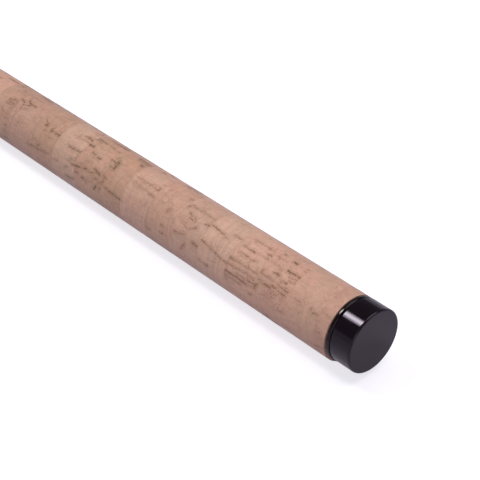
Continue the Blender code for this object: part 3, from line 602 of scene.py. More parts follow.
# %% Drawing a section with rounded corners
def rounded(corners, closed=True, steps=4):
    """Points of a section in mm, as (x, radius, edge). A corner is (x, radius, rounding).

    Each rounding gets a holding point just before and after it, so that smooth shading stays flat on
    the faces beside it. A closed section is a ring's, and an open one starts and ends on the axis."""
    count = len(corners)
    points = []
    for index, (x, radius, rounding) in enumerate(corners):
        here = Vector((x, radius))
        if rounding <= 0.0 or (not closed and index in (0, count - 1)):
            points.append((x, radius, 0.0))
            continue
        before = Vector(corners[index - 1][:2]) - here
        after = Vector(corners[(index + 1) % count][:2]) - here
        reach = min(rounding, 0.48 * before.length, 0.48 * after.length)
        enter = here + before.normalized() * reach
        leave = here + after.normalized() * reach
        if before.length > 3.0 * reach:
            points.append((*(enter + before.normalized() * 0.3 * reach), 0.0))
        for step in range(steps + 1):
            share = step / steps
            point = enter.lerp(here, share).lerp(here.lerp(leave, share), share)
            points.append((*point, 1.0))
        if after.length > 3.0 * reach:
            points.append((*(leave + after.normalized() * 0.3 * reach), 0.0))
    if closed:
        points.append(points[0])
    return points


def turn(name, points, material, around, centre_y=0.0):
    """A piece on the lathe, from its section. x and radius are in mm from the butt face and the axis."""
    edges = [(index, index + 1) for index in range(len(points) - 1)]
    obj = mesh_object(name, [(x * MM, radius * MM, 0.0) for x, radius, _ in points], edges)
    store_values(obj, "edge", [point[2] for point in points])
    run_tree(obj, LATHE, Section_points=len(points), Around=around,
             Centre_y=centre_y * MM, Material=material)
    return obj


def turned(name, points, material, around=96, centre_y=0.0):
    """A piece taken off the lathe: only its mesh is left."""
    return freeze(turn(name, points, material, around, centre_y))


# %% [markdown]
# ## Where the pores are
# Each pore is a short line along the rod. The ones on the side that the photograph shows are listed
# one by one, in mm along the rod and degrees round it. The rest of the cork gets its own, by a seeded
# random rule: a few long lines, and here and there a cluster of short ones.

# %% Pores on the side that shows
# By ring from the butt: start x and angle, end x and angle, half width in hundredths of a mm, and
# strength in percent
SEEN_PORES = {
    1: ((9.6, -9, 13.2, -15, 50, 45), (11.1, 15, 12.4, 15, 20, 55), (9.6, 8, 11, 7, 20, 35),
        (12, 76, 13.2, 76, 15, 35), (10, 45, 11.2, 44, 15, 30), (12.3, 47, 13.3, 45, 14, 30)),
    2: ((13.7, 38, 16.1, 36, 16, 60), (16.7, 40, 17.3, 39, 22, 60), (21.2, 40, 23.2, 39, 14, 50)),
    3: ((26.5, 72, 29, 72, 28, 90), (29.5, 71, 31.1, 71, 34, 100), (26.6, 65, 27.8, 64, 18, 60),
        (28.6, 64, 29.6, 63, 18, 50), (31.2, 91, 32.6, 92, 34, 95), (36.2, 95, 37.2, 95, 28, 70),
        (26.4, 93, 27.5, 93, 20, 50), (26.4, 87, 27.4, 86, 16, 45), (36.7, 80, 38, 88, 14, 50),
        (33.2, 66, 34, 66, 18, 60), (32.5, 57, 34.5, 57, 24, 85), (28.4, 57, 29, 52, 30, 85),
        (26.6, 60, 30.8, 51, 55, 30), (26.8, 42, 28.8, 42, 20, 80), (29.2, 43, 30.5, 43, 18, 65),
        (30.7, 45, 34, 44, 14, 45), (27.3, 35, 29, 35, 20, 70), (29.3, 36, 30.3, 36, 16, 55),
        (31.1, 37, 33, 37, 22, 85), (33, 33, 35.8, 33, 22, 85), (35.8, 35, 38.5, 35, 14, 45),
        (30, 28, 31.2, 27, 22, 50), (26.6, 8, 27.6, 7, 24, 50), (38.4, 25, 38.6, 19, 30, 100),
        (34.3, 45, 38.6, 45, 14, 55), (38, 51, 38.6, 50, 20, 60), (26.5, 68, 27.2, 67, 16, 60),
        (29.6, 52, 30.4, 50, 20, 55), (27, 46, 28.4, 45, 14, 50), (32, 30, 32.6, 25, 16, 50),
        (27.6, 29, 28.2, 26, 18, 50), (34, 83, 38.4, 84, 11, 35), (33, 69, 38.6, 69, 10, 35)),
    4: ((42, 88, 42.8, 88, 24, 85), (43.5, 88, 44.5, 88, 16, 50), (45, 88, 48.4, 88, 20, 75),
        (39.4, 77, 40.5, 77, 26, 95), (39.4, 69, 40.5, 69, 20, 60), (40.5, 69, 44.6, 68, 10, 40),
        (44.6, 68, 46.9, 67, 24, 95), (47, 67, 49.8, 67, 16, 65), (42.4, 55, 44.3, 54, 22, 65),
        (44.2, 54, 43.7, 41, 10, 60), (45.5, 55, 46.8, 55, 20, 85), (47.5, 55, 48.8, 55, 16, 60),
        (43.6, 43, 43.4, 39, 16, 80), (39.2, 40, 49, 40, 14, 60), (49, 39, 51.6, 39, 18, 80),
        (39.6, 31, 45.5, 31, 14, 60), (45.5, 30, 51.6, 29, 18, 75), (39.1, 23, 41.7, 23, 20, 85),
        (41.7, 22, 47, 22, 15, 60), (39.2, 18, 41.2, 16, 16, 55), (41.8, 16, 51.7, 16, 24, 100),
        (44, 9, 51.5, 9, 20, 80), (47, 2, 51, 2, 16, 45), (39.2, 4, 40.7, 2, 22, 85)),
    5: ((51.8, 74, 55.2, 74, 16, 60), (58, 65, 64.2, 68, 15, 80), (56.2, 63, 58.2, 63, 14, 40),
        (52, 28, 55, 29, 10, 65), (55, 29, 61, 35, 10, 75), (61, 35, 64.2, 38, 14, 85),
        (59, 3, 60.8, 2, 24, 75), (61, 4, 63.5, 2, 18, 50), (57.3, 104, 58.5, 104, 20, 40)),
    6: ((64.6, 79, 74, 79, 13, 60), (73.2, 79, 74.2, 79, 22, 85), (75.3, 80, 76.5, 72, 26, 85),
        (64.5, 63, 66.2, 63, 20, 85), (68, 50, 69, 48, 26, 80), (69, 46, 70, 44, 20, 60),
        (70, 56, 71.5, 65, 16, 60), (71.3, 57, 72.8, 58, 20, 75), (72.6, 63, 74, 65, 22, 80),
        (64.5, 24, 67.2, 24, 24, 90), (71.5, 28, 73, 28, 18, 65), (73.3, 26, 76, 25, 20, 75),
        (70.3, 15, 71.5, 3, 24, 85), (70, 41, 72.8, 41, 16, 45), (71, 44, 75, 50, 160, 14)),
    7: ((77.4, 90, 78.5, 88, 22, 50), (80.8, 51, 82, 47, 12, 60), (81, 53, 82.3, 51, 10, 55),
        (81, 20, 82.2, 20, 16, 50), (80.6, 8, 82, 6, 24, 80), (87, -1, 88.5, -3, 24, 60)),
    8: ((90, 84, 90.6, 83, 20, 60), (90, 73, 90.5, 73, 26, 90), (89.9, 68, 91, 68, 24, 100),
        (91, 69, 101, 70, 11, 65), (90, 54, 90.9, 54, 20, 75), (91.5, 55, 92.8, 55, 22, 85),
        (92.8, 56, 101.5, 59, 11, 60), (95.5, 54, 98.6, 53, 14, 65)),
    9: ((103.9, 93, 105, 95, 30, 85), (111.2, 72, 111.4, 58, 42, 100), (112.7, 70, 115.2, 71, 15, 60),
        (102.7, 17, 109.6, 20, 16, 65), (113.4, 14, 113.9, 10, 18, 60), (111.6, 36, 115.1, 34, 13, 45),
        (112.4, 28, 114.6, 22, 22, 45), (103, 103, 108, 102, 50, 35), (111.9, 77, 112.4, 66, 24, 70),
        (110.6, 68, 111.3, 70, 22, 60), (112, 59, 113.5, 58, 18, 50), (113, 84, 114.5, 66, 36, 30),
        (110, 22, 112.5, 22, 14, 50), (112.8, 38, 113.2, 24, 14, 45), (103, 62, 107, 66, 90, 10)),
    10: ((115.3, 35, 118.4, 39, 20, 85), (115.4, 13, 116.7, 5, 30, 95), (115.5, 92, 116.8, 92, 20, 50),
         (122.8, 94, 127.4, 95, 20, 80), (119, 60, 120.6, 60, 24, 70), (122, 62, 123.5, 62, 24, 75),
         (125.2, 73, 127.8, 73, 22, 90), (122, 32, 123.3, 31, 22, 75), (118.5, 32, 125.5, 27, 12, 45),
         (125.5, 27, 127.8, 25, 22, 90), (122.4, 13, 123.5, 12, 24, 80), (125.5, 16, 127.2, 15, 20, 65),
         (115.3, 26, 117, 25, 16, 60), (116, 29, 118.5, 27, 40, 20), (119, 94, 121, 94, 18, 45),
         (124.8, 88, 127.6, 91, 50, 30), (120.6, 17, 121, 10, 20, 35), (121, 46, 124, 43, 14, 35),
         (124, 37, 126, 34, 12, 35), (121.6, 56, 123.6, 66, 50, 20)),
    11: ((128, 25, 129.6, 24, 22, 85), (128, 82, 132, 83, 22, 90), (128.5, 74, 135, 73, 12, 45),
         (128, 51, 134.3, 49, 15, 75), (128.2, 44, 128.6, 36, 20, 60), (130.8, 26, 132, 26, 18, 50),
         (128, -4, 132.5, -5, 24, 65), (128.2, 87, 131, 86, 45, 35), (129.3, 108, 130, 118, 30, 50),
         (128.2, 33, 131.5, 30, 14, 45), (131.6, 14, 133.2, 10, 20, 50), (133.5, 76, 135.5, 72, 20, 35),
         (128.4, -2, 131.8, -8, 30, 45), (137, 14, 140.4, 11, 16, 40)),
    12: ((140.9, 56, 143.3, 56, 22, 90), (143.3, 57, 144.5, 56, 15, 55), (144.5, 56, 146, 55, 26, 95),
         (148.6, 59, 150, 59, 24, 80), (150, 64, 152, 71, 14, 60), (143, 14, 153.3, 10, 16, 55),
         (148.4, 19, 149.7, 18, 20, 55), (145, 62, 146.2, 58, 24, 60), (149.2, 64, 149.8, 58, 30, 70),
         (148, 54, 149, 48, 18, 40), (144.8, 84, 150, 84, 100, 12), (146.5, 66, 151, 76, 120, 10),
         (148.3, 10, 153.2, 8, 22, 50), (144, 42, 145.5, 41, 14, 40), (151, 27, 152.6, 24, 20, 35),
         (147.8, 22, 149.6, 16, 26, 50)),
    13: ((160.3, 78, 164, 79, 20, 85), (164, 79, 165.6, 84, 24, 95), (162.5, 74, 165.9, 69, 20, 85),
         (162, 79, 163.5, 74, 20, 70), (163.6, 72, 165.8, 70, 18, 60), (162.4, 65, 164.4, 63, 14, 50),
         (153.5, 8, 155.2, 8, 20, 50), (160.6, 98, 165.9, 97, 60, 25), (153.6, 64, 155.5, 67, 14, 35),
         (160.4, 38, 162.5, 34, 50, 18), (164.8, 62, 165.6, 58, 20, 50)),
    14: ((166.2, 74, 168.8, 78, 24, 95), (171.3, 95, 173, 100, 28, 80), (168.6, 65, 171, 69, 20, 85),
         (171, 67, 173, 64, 24, 90), (168.6, 60, 172.5, 60, 16, 80), (168.5, 50, 170.5, 50, 18, 75),
         (168.8, 37, 173, 38, 14, 40), (166.2, 98, 171, 96, 50, 25), (168.6, 72, 169.2, 67, 20, 60),
         (168.8, 55, 171.5, 54, 20, 60), (171, 58, 173, 55, 16, 60), (169, 88, 174, 91, 12, 50),
         (168.4, 16, 170, 16, 24, 55), (168.2, 30, 172, 29, 30, 30), (168.5, 4, 170, 0, 20, 50),
         (168.2, -10, 170.5, -14, 20, 50)),
}
print("pores placed by hand:", sum(len(pores) for pores in SEEN_PORES.values()))


# %% Pores on the rest of the cork
CORK_RADIUS = 10.85
RING_PITCH = 12.7
SEEN_ANGLES = (-28.0, 108.0)
PORE_STEP = 0.5
PORE_THINNING = 0.72  # the widths, as first judged, looked too bold on the cork


def random_pores(ring, start, length, seen):
    """Lines and clusters on one ring, kept off the side where the listed ones are."""
    chance = np.random.default_rng(700 + ring)
    pores = []

    def angle():
        low = SEEN_ANGLES[1] if seen else 0.0
        return chance.uniform(low, 360.0 + (SEEN_ANGLES[0] if seen else 0.0))

    for _ in range(chance.integers(5, 11)):
        size = min(length, chance.uniform(1.0, 9.0))
        x = start + chance.uniform(0.0, length - size)
        turn_by = angle()
        pores.append((x, turn_by, x + size, turn_by + chance.uniform(-3.0, 3.0),
                      chance.uniform(0.08, 0.22), chance.uniform(0.35, 0.9)))
    for _ in range(chance.integers(1, 4)):
        middle, x_middle = angle(), start + chance.uniform(0.1, 0.9) * length
        for _ in range(chance.integers(4, 10)):
            x = np.clip(x_middle + chance.normal(0.0, 2.0), start, start + length - 0.5)
            size = min(chance.uniform(0.4, 2.2), start + length - x)
            turn_by = middle + chance.normal(0.0, 9.0)
            pores.append((x, turn_by, x + size, turn_by + chance.uniform(-2.0, 2.0),
                          chance.uniform(0.14, 0.36), chance.uniform(0.5, 1.0)))
    return pores


def pore_lines(name, pores, gain):
    """One ring's pores as chains of edges on the cork, with a half width and a strength."""
    points, edges, widths, strengths = [], [], [], []
    for x0, angle0, x1, angle1, width, strength in pores:
        length = math.hypot(x1 - x0, math.radians(angle1 - angle0) * CORK_RADIUS)
        steps = max(1, math.ceil(length / PORE_STEP))
        for step in range(steps + 1):
            share = step / steps
            turn_by = math.radians(angle0 + (angle1 - angle0) * share)
            points.append(((x0 + (x1 - x0) * share) * MM, CORK_RADIUS * math.cos(turn_by) * MM,
                           CORK_RADIUS * math.sin(turn_by) * MM))
            if step:
                edges.append((len(points) - 2, len(points) - 1))
            widths.append(PORE_THINNING * width)
            strengths.append(strength * gain)
    obj = mesh_object(name, points, edges)
    store_values(obj, "half_width", widths)
    store_values(obj, "strength", strengths)
    return obj


# %% [markdown]
# ## Cutting the pores into the cork
# A second tree works on each turned ring. Geometry Proximity gives every point its distance from the
# nearest pore, and Sample Nearest reads how wide and how dark that pore is. The distance, less the
# half width, is stored for the material, and points inside a pore sink a little. The same tree
# stores the ring's looks, so that one material serves every ring.

# %% The pore tree
LOOKS = ("Tone", "Redness", "Straw", "Banding")


def pore_tree():
    """Stores each point's distance in mm from the edge of the nearest pore, and sinks the pores."""
    tree, given, result = geometry_tree(
        "Cork pores", [("Pores", OBJECT, None), ("Depth", FLOAT, 0.1 * MM), ("Ring", FLOAT, 0.0),
                       *[(look, FLOAT, 0.0) for look in LOOKS]])
    pores = add(tree, "GeometryNodeObjectInfo", {"Object": given["Pores"]}, "Geometry")
    distance = add(tree, "GeometryNodeProximity", {0: pores}, "Distance", target_element="EDGES")
    index = add(tree, "GeometryNodeSampleNearest", {0: pores}, domain="POINT")
    away = distance * (1.0 / MM) - sample(pores, named(tree, "half_width"), index)
    strength = sample(pores, named(tree, "strength"), index)
    geometry = store(given["Geometry"], "pore", maths("MINIMUM", away, 2.0))
    geometry = store(geometry, "pore_strength", strength)
    for look in ("Ring", *LOOKS):
        geometry = store(geometry, look.lower(), given[look])
    sink = remap(away, 0.1, -0.15) * strength * (given["Depth"] * -1.0)
    normal = add(tree, "GeometryNodeInputNormal")
    sunk = add(tree, "GeometryNodeSetPosition",
               {"Geometry": geometry, "Offset": vector_maths("SCALE", {0: normal, "Scale": sink})})
    finish_tree(given, result, sunk)
    return tree


CORK_PORES = pore_tree()
print("tree:", CORK_PORES.name, len(CORK_PORES.nodes), "nodes")

# %% [markdown]
# ## The grips
# The rear grip is a short trimmed ring and seventeen whole ones. The foregrip has five, and its
# front ring is shaped down to a small nose. The rings are glued and sanded together, so only a
# hairline parts them, and one ring's section differs from the next only in where it stands.

# %% The cork rings
# Each ring from the butt: lightness, redness, straw colour, strength of its yearly bands and its pores
RING_LOOKS = ((-0.4, 0.6, -0.6, 0.3, 0.75), (0.3, 0.2, -0.4, 0.3, 0.90), (0.6, 0.4, -0.4, 0.3, 0.88),
              (1.2, 0.1, -0.6, 0.3, 0.74), (1.2, -0.9, -0.9, 0.9, 0.84), (0.5, -0.4, -0.9, 0.5, 0.82),
              (-0.1, 0.2, 0.2, 1.0, 0.95), (0.6, 0.0, -0.9, 0.6, 0.72), (-0.7, 0.4, 1.6, 0.4, 1.10),
              (-0.4, 0.5, 0.9, 0.3, 1.06), (0.5, -0.9, -0.6, 0.5, 1.00), (-1.1, 0.4, 1.2, 0.4, 0.92),
              (-0.9, 0.2, -0.6, 0.8, 1.00), (-1.1, 0.2, 0.2, 0.4, 0.78))
UNSEEN_LOOKS = ((-0.8, 0.9), (-0.8, 0.8), (-1.0, 1.2), (0.2, 1.0), (0.8, 1.0))
HAIRLINE, CORNER_DROP = 0.015, 0.03
GRIP_BORE = 8.35
CORK_START, FIRST_WHOLE_RING, FORE_START = 9.15, 13.65, 342.45
NOSE_DROP, NOSE_LENGTH, POINT_SPACING = 1.0, 5.0, 0.45


def cork_ring(name, number, start, length, nose):
    """One ring of cork. number says which looks and pores it has, and nose how far its front drops."""
    seen = number <= len(RING_LOOKS)
    chance = np.random.default_rng(40 + number)
    chosen = [chance.uniform(*ends) for ends in UNSEEN_LOOKS]
    *looks, pore_gain = RING_LOOKS[number - 1] if seen else chosen
    front, rear = start + length - HAIRLINE, start
    body_end = front - NOSE_LENGTH if nose else front
    spaced = np.linspace(rear + 0.12, body_end - 0.12, round(length / POINT_SPACING))
    outer = [(x, CORK_RADIUS, 0.0) for x in spaced]
    for share in np.linspace(0.1, 1.0, 12) if nose else ():
        outer.append((body_end + (NOSE_LENGTH - 0.1) * share, CORK_RADIUS - nose * share ** 1.8, 0.0))
    last = outer[-1][1]
    points = [(rear, GRIP_BORE, 0.0), (rear, CORK_RADIUS - CORNER_DROP, 0.5),
              (rear + CORNER_DROP, CORK_RADIUS, 0.5), *outer, (front - CORNER_DROP, last, 0.5),
              (front, last - CORNER_DROP, 0.5), (front, GRIP_BORE, 0.0), (rear, GRIP_BORE, 0.0)]
    pores = [(*ends, width / 100, strength / 100)
             for *ends, width, strength in SEEN_PORES.get(number, ())]
    pores += random_pores(number, start, length - HAIRLINE, seen)
    lines = pore_lines(f"{name}_pores", pores, pore_gain)
    ring = turn(name, points, CORK, around=288)
    run_tree(ring, CORK_PORES, Pores=lines, Depth=0.1 * MM, Ring=float(number), Material=CORK,
             **{look: float(value) for look, value in zip(LOOKS, looks)})
    freeze(ring)
    bpy.data.objects.remove(lines)
    return ring


def grip_rings():
    """Each ring's CAD node, number, start, length and nose, from the butt forwards."""
    yield "rear_cork_ring_01", 1, CORK_START, FIRST_WHOLE_RING - CORK_START, 0.0
    for number in range(2, 19):
        start = FIRST_WHOLE_RING + RING_PITCH * (number - 2)
        yield f"rear_cork_ring_{number:02d}", number, start, RING_PITCH, 0.0
    for number in range(1, 6):
        start, nose = FORE_START + RING_PITCH * (number - 1), NOSE_DROP if number == 5 else 0.0
        yield f"fore_cork_ring_{number}", 20 + number, start, RING_PITCH, nose


cork_faces = 0
for node, *ring_sizes in grip_rings():
    ring = cork_ring(f"{node}_cork", *ring_sizes)
    fit(ring, "handle", node)
    cork_faces += len(ring.data.polygons)
print("faces on the cork:", cork_faces)

# %% [markdown]
# ## Threads and windings
# A screw thread and a whipping are the same thing to a modeller: one line wound round the axis. The
# tree draws a spiral, sweeps an oval along it, fades its ends, and lays it along the rod. A flat
# side, such as the reel seat's bed, cuts the thread where it crosses it.

# %% The winding tree
def from_ends(tree):
    """How far along a line a point is from the nearer end: 0 at both ends, 0.5 halfway."""
    share = add(tree, "GeometryNodeSplineParameter", output="Factor")
    return 0.5 - maths("ABSOLUTE", share - 0.5)


def sweep(line, thickness, sides, radius, oval=None):
    """A wire along a line. thickness changes it from place to place, and oval stretches its outline."""
    tree = line.tree
    sized = add(tree, "GeometryNodeSetCurveRadius", {"Curve": line, "Radius": thickness})
    outline = add(tree, "GeometryNodeCurvePrimitiveCircle", {"Resolution": sides, "Radius": radius})
    if oval:
        outline = add(tree, "GeometryNodeTransform", {"Geometry": outline, "Scale": oval})
    return add(tree, "GeometryNodeCurveToMesh",
               {"Curve": sized, "Profile Curve": outline, "Fill Caps": True})


def lay(geometry, start):
    """Turns what stands upright to run along the rod, and moves it to its start."""
    turned_by = (0.0, math.pi / 2.0, 0.0)
    return add(geometry.tree, "GeometryNodeTransform",
               {"Geometry": geometry, "Rotation": turned_by, "Translation": combine(start)})


def winding_tree():
    """An oval wire wound round the axis, from a start radius to an end radius."""
    tree, given, result = geometry_tree(
        "Winding", [("Start x", FLOAT, 0.0), ("Length", FLOAT, 0.01), ("Turns", FLOAT, 5.0),
                    ("Start radius", FLOAT, 0.01), ("End radius", FLOAT, 0.01), ("Height", FLOAT, 0.0005),
                    ("Width", FLOAT, 0.0005), ("Steps a turn", INTEGER, 48), ("Sides", INTEGER, 8),
                    ("Fade", FLOAT, 0.02), ("Flat", FLOAT, 1.0)])
    spiral = add(tree, "GeometryNodeCurveSpiral",
                 {"Resolution": given["Steps a turn"], "Rotations": given["Turns"],
                  "Start Radius": given["Start radius"], "End Radius": given["End radius"],
                  "Height": given["Length"]})
    level = add(tree, "GeometryNodeSetCurveNormal", {0: spiral}, mode="Z_UP")
    fade = remap(from_ends(tree), 0.0, given["Fade"]) + 0.001
    oval = combine(given["Height"], given["Width"], 1.0)
    swept = sweep(level, fade, given["Sides"], 1.0, oval)
    laid = lay(swept, given["Start x"])
    x, y, z = split(add(tree, "GeometryNodeInputPosition"))
    cut = combine(x, maths("MAXIMUM", y, given["Flat"] * -1.0), z)
    placed = add(tree, "GeometryNodeSetPosition", {"Geometry": laid, "Position": cut})
    finish_tree(given, result, placed)
    return tree


WINDING = winding_tree()


def wind(name, material, start, end, turns, radii, size, sides=8, steps=64, fade=0.02, flat=1000.0):
    """A wound line. Lengths are in mm, and size is its half height and half width."""
    obj = mesh_object(name, [])
    run_tree(obj, WINDING, Start_x=start * MM, Length=(end - start) * MM, Turns=float(turns),
             Start_radius=radii[0] * MM, End_radius=radii[1] * MM, Height=size[0] * MM,
             Width=size[1] * MM, Steps_a_turn=steps, Sides=sides, Fade=fade, Flat=flat * MM,
             Material=material)
    return freeze(obj)


print("tree:", WINDING.name, len(WINDING.nodes), "nodes")

# %% [markdown]
# ## The butt
# The cap screws into a bush in the blank. Its flat end meets a short wall in a small, even rounding,
# which is what draws the thin dark line round its face. A rubber washer sits between the cap and the
# cork: it is thick where it shows and thin where the blank's end needs the room. The cap's spigot
# carries a coarse thread, which shows when it is unscrewed.
#
# In the photograph the cap sits a hair off the grip's axis, as caps do whose thread has play. Its
# head is shifted as far as it shows there, the washer half as far, and the spigot stays on the axis.

# %% The cap and its washer
HEAD_RADIUS, HEAD_LENGTH = 10.46, 7.5
SPIGOT_RADIUS, SPIGOT_END, SPIGOT_CLEARANCE = 5.62, 16.5, 6.2
WASHER_RADIUS, WASHER_BORE, WASHER_STEP = 10.62, 6.5, 9.1
WASHER_REAR, WASHER_THIN, WASHER_FRONT = 7.66, 8.44, 9.05
CAP_RISE, WASHER_RISE = 0.32, 0.16


def set_high(obj, rise):
    """Shifts what lies outside the spigot up and to the front side, by rise in mm each way."""
    for vertex in obj.data.vertices:
        radius = math.hypot(vertex.co.y, vertex.co.z)
        if vertex.co.x < CORK_START * MM and radius > SPIGOT_CLEARANCE * MM:
            vertex.co += Vector((0.0, -rise, rise)) * MM


cap_section = rounded([(0.0, 0.0, 0.0), (0.0, HEAD_RADIUS, 0.6), (HEAD_LENGTH, HEAD_RADIUS, 0.28),
                       (HEAD_LENGTH, SPIGOT_RADIUS, 0.2), (SPIGOT_END, SPIGOT_RADIUS, 0.5),
                       (SPIGOT_END, 0.0, 0.0)], closed=False, steps=6)
cap = turned("cap_turned", cap_section, GLOSS_BLACK, around=192)
set_high(cap, CAP_RISE)
cap_thread = wind("cap_thread", GLOSS_BLACK, 9.0, 15.9, 4.6, (5.6, 5.6), (0.42, 0.55), fade=0.06)
fit(join("butt_cap_polished", [cap, cap_thread]), "butt_cap", "butt_cap")

washer_section = rounded([
    (WASHER_REAR, WASHER_BORE, 0.15), (WASHER_REAR, WASHER_RADIUS, 0.5), (WASHER_FRONT, WASHER_RADIUS, 0.5),
    (WASHER_FRONT, WASHER_STEP, 0.1), (WASHER_THIN, WASHER_STEP, 0.1), (WASHER_THIN, WASHER_BORE, 0.15)])
washer = turned("cap_washer_rubber", washer_section, RUBBER, around=160)
set_high(washer, WASHER_RISE)
fit(washer, "cap_washer", "cap_washer")
print("cap faces:", len(cap.data.polygons), "washer faces:", len(washer.data.polygons))

# %% [markdown]
# ## The reel seat
# The seat is a moulded barrel round the blank. A flat bed on its underside takes the reel's foot,
# and one end of the foot goes under a fixed steel hood. The other end is held by a second hood,
# which a ribbed nut pushes along a coarse thread.
#
# The barrel isn't round where the bed is, so a lathe can't make it. Its outline is a rule: the
# smaller of the round's radius and the distance to the bed. The rule gives one outline for each
# place along the barrel, and a skin goes over them.

# %% A skin over outlines
def skin(name, rows, angles, radius_at, material):
    """A closed skin over rows (x in mm, edge, what radius_at needs), the last joined to the first."""
    outlines = []
    for row in rows:
        for angle in angles:
            radius = radius_at(row, angle)
            outlines.append((row[0] * MM, -radius * math.cos(angle) * MM, radius * math.sin(angle) * MM))
    count, around = len(rows), len(angles)
    faces = []
    for row in range(count):
        after = (row + 1) % count
        for column in range(around):
            beside = (column + 1) % around
            faces.append((row * around + column, row * around + beside,
                          after * around + beside, after * around + column))
    obj = mesh_object(name, outlines, (), faces)
    store_values(obj, "edge", np.repeat([row[1] for row in rows], around))
    face_outwards(obj.data)
    smooth_faces(obj.data)
    obj.data.materials.append(material)
    return obj


def soft_step(value, low, high):
    """0 at low, 1 at high, with an S curve between."""
    share = min(1.0, max(0.0, (value - low) / (high - low)))
    return share * share * (3.0 - 2.0 * share)


# %% The seat's barrel and its thread
SEAT_X = 232.25
SEAT_RADIUS, THREAD_ROOT, BED = 10.6, 10.0, 9.25
THREAD = (79.5, 105.5)


def barrel_radius(row, angle):
    """The barrel's radius at a row, at an angle from the middle of its bed."""
    x, _, inset = row
    if inset is None:
        return GRIP_BORE
    x -= SEAT_X
    round_part = SEAT_RADIUS - (SEAT_RADIUS - THREAD_ROOT) * (
        soft_step(x, THREAD[0] - 1.5, THREAD[0]) - soft_step(x, THREAD[1], THREAD[1] + 1.5))
    bed = BED + (SEAT_RADIUS - BED + 0.05) * (1.0 - soft_step(x, 3.0, 4.5) + soft_step(x, 105.5, 107.0))
    across = math.cos(angle)
    return (round_part if across <= 0.0 else min(round_part, bed / across)) + inset


def barrel():
    """The moulded barrel, with its bed cut flat and its ends rounded over."""
    fine = np.radians(np.arange(-34.0, 34.01, 2.0))
    coarse = np.radians(np.linspace(34.0, 326.0, 88)[1:-1])
    outer = [0.15, 0.3, 0.6, 3.0, *np.arange(3.15, 4.6, 0.15), 5.2, 20.0, 40.0, 60.0, 76.0,
             *np.arange(78.0, 79.6, 0.15), 80.0, 92.0, 105.0, *np.arange(105.5, 107.1, 0.15),
             107.6, 109.4, 109.7, 109.85]
    rows = [(0.0, 0.0, None), (0.0, 1.0, -0.15), (0.05, 1.0, -0.05), *[(x, 0.0, 0.0) for x in outer],
            (109.95, 1.0, -0.05), (110.0, 1.0, -0.15), (110.0, 0.0, None)]
    rows = [(SEAT_X + x, edge, inset) for x, edge, inset in rows]
    return skin("barrel", rows, [*fine, *coarse], barrel_radius, SEAT_PLASTIC)


seat = barrel()
seat_thread = wind("seat_thread", SEAT_PLASTIC, SEAT_X + THREAD[0] + 0.9, SEAT_X + THREAD[1] - 0.9,
                   12.1, (THREAD_ROOT - 0.08, THREAD_ROOT - 0.08), (0.66, 0.62), sides=10, steps=96,
                   flat=BED - 0.06)
fit(join("reel_seat_moulded", [seat, seat_thread]), "handle", "reel_seat_barrel")
print("reel seat faces:", len(seat.data.polygons))

# %% [markdown]
# ## The hoods
# Each hood is pressed from steel: a ring round the barrel that swells into a pocket over the bed.
# The pocket's outline is a superellipse, flatter than a circle across its roof and tighter at its
# corners. It rises in an S curve from the plain ring, and its mouth has a rolled lip.

# %% The fixed hood and the sliding hood
HOOD_BORE, HOOD_WALL, HOOD_LENGTH = 10.9, 1.1, 18.0
SLIDING_HOOD_X = 300.45
POCKET_ROOF, POCKET_DEPTH, HOOD_FULLNESS = 14.45, 9.5, 3.0
# x from the hood's plain end, offset from its inner face, edge
HOOD_REAR = ((0.55, 0.0, 0.0), (0.12, 0.1, 1.0), (0.0, 0.35, 1.0), (0.0, 0.75, 1.0), (0.12, 1.0, 1.0),
             (0.5, 1.1, 0.0))
HOOD_LIP = ((17.2, 1.16, 0.0), (17.45, 1.2, 1.0), (17.75, 1.16, 1.0), (17.94, 1.0, 1.0), (18.0, 0.7, 1.0),
            (18.0, 0.3, 1.0), (17.9, 0.08, 1.0), (17.6, 0.0, 0.0))


def hood_radius(row, angle):
    """A round outline that swells to a pocket round angle 0."""
    _, _, offset, rise = row
    bore = HOOD_BORE + offset
    roof = HOOD_BORE + (POCKET_ROOF - HOOD_BORE) * rise + offset
    fullness = 2.0 + (HOOD_FULLNESS - 2.0) * rise
    across = math.cos(angle)
    if across <= 0.0:
        return bore
    swell = (across / roof) ** fullness + (abs(math.sin(angle)) / bore) ** fullness
    return max(bore, swell ** (-1.0 / fullness))


def hood(name, start, mouth_forward):
    """A hood that begins at start mm, with its mouth at its front or at its rear."""
    wall = np.linspace(1.0, HOOD_LENGTH - 1.2, 22)
    section = [*HOOD_REAR, *[(x, HOOD_WALL, 0.0) for x in wall], *HOOD_LIP,
               *[(x, 0.0, 0.0) for x in wall[::-1]]]
    rows = [(start + (x if mouth_forward else HOOD_LENGTH - x), edge, offset,
             soft_step(x, 0.4, HOOD_LENGTH - POCKET_DEPTH + 0.6)) for x, offset, edge in section]
    angles = [math.tau * (column + 0.5) / 144 for column in range(144)]
    return skin(name, rows, angles, hood_radius, HOOD_STEEL)


fit(hood("fixed_hood_steel", SEAT_X, True), "handle", "fixed_hood")
fit(hood("sliding_hood_steel", SLIDING_HOOD_X, False), "sliding_hood", "sliding_hood")
print("hoods stand", round(POCKET_ROOF + HOOD_WALL - SEAT_RADIUS, 1), "mm above the barrel")

# %% [markdown]
# ## The locking nut
# The nut is a plastic ring with ribs for the fingers. The ribs repeat round it, so a tree places
# them: a circle of points, with one rib on each. Each rib is a short rod that tapers to its ends.

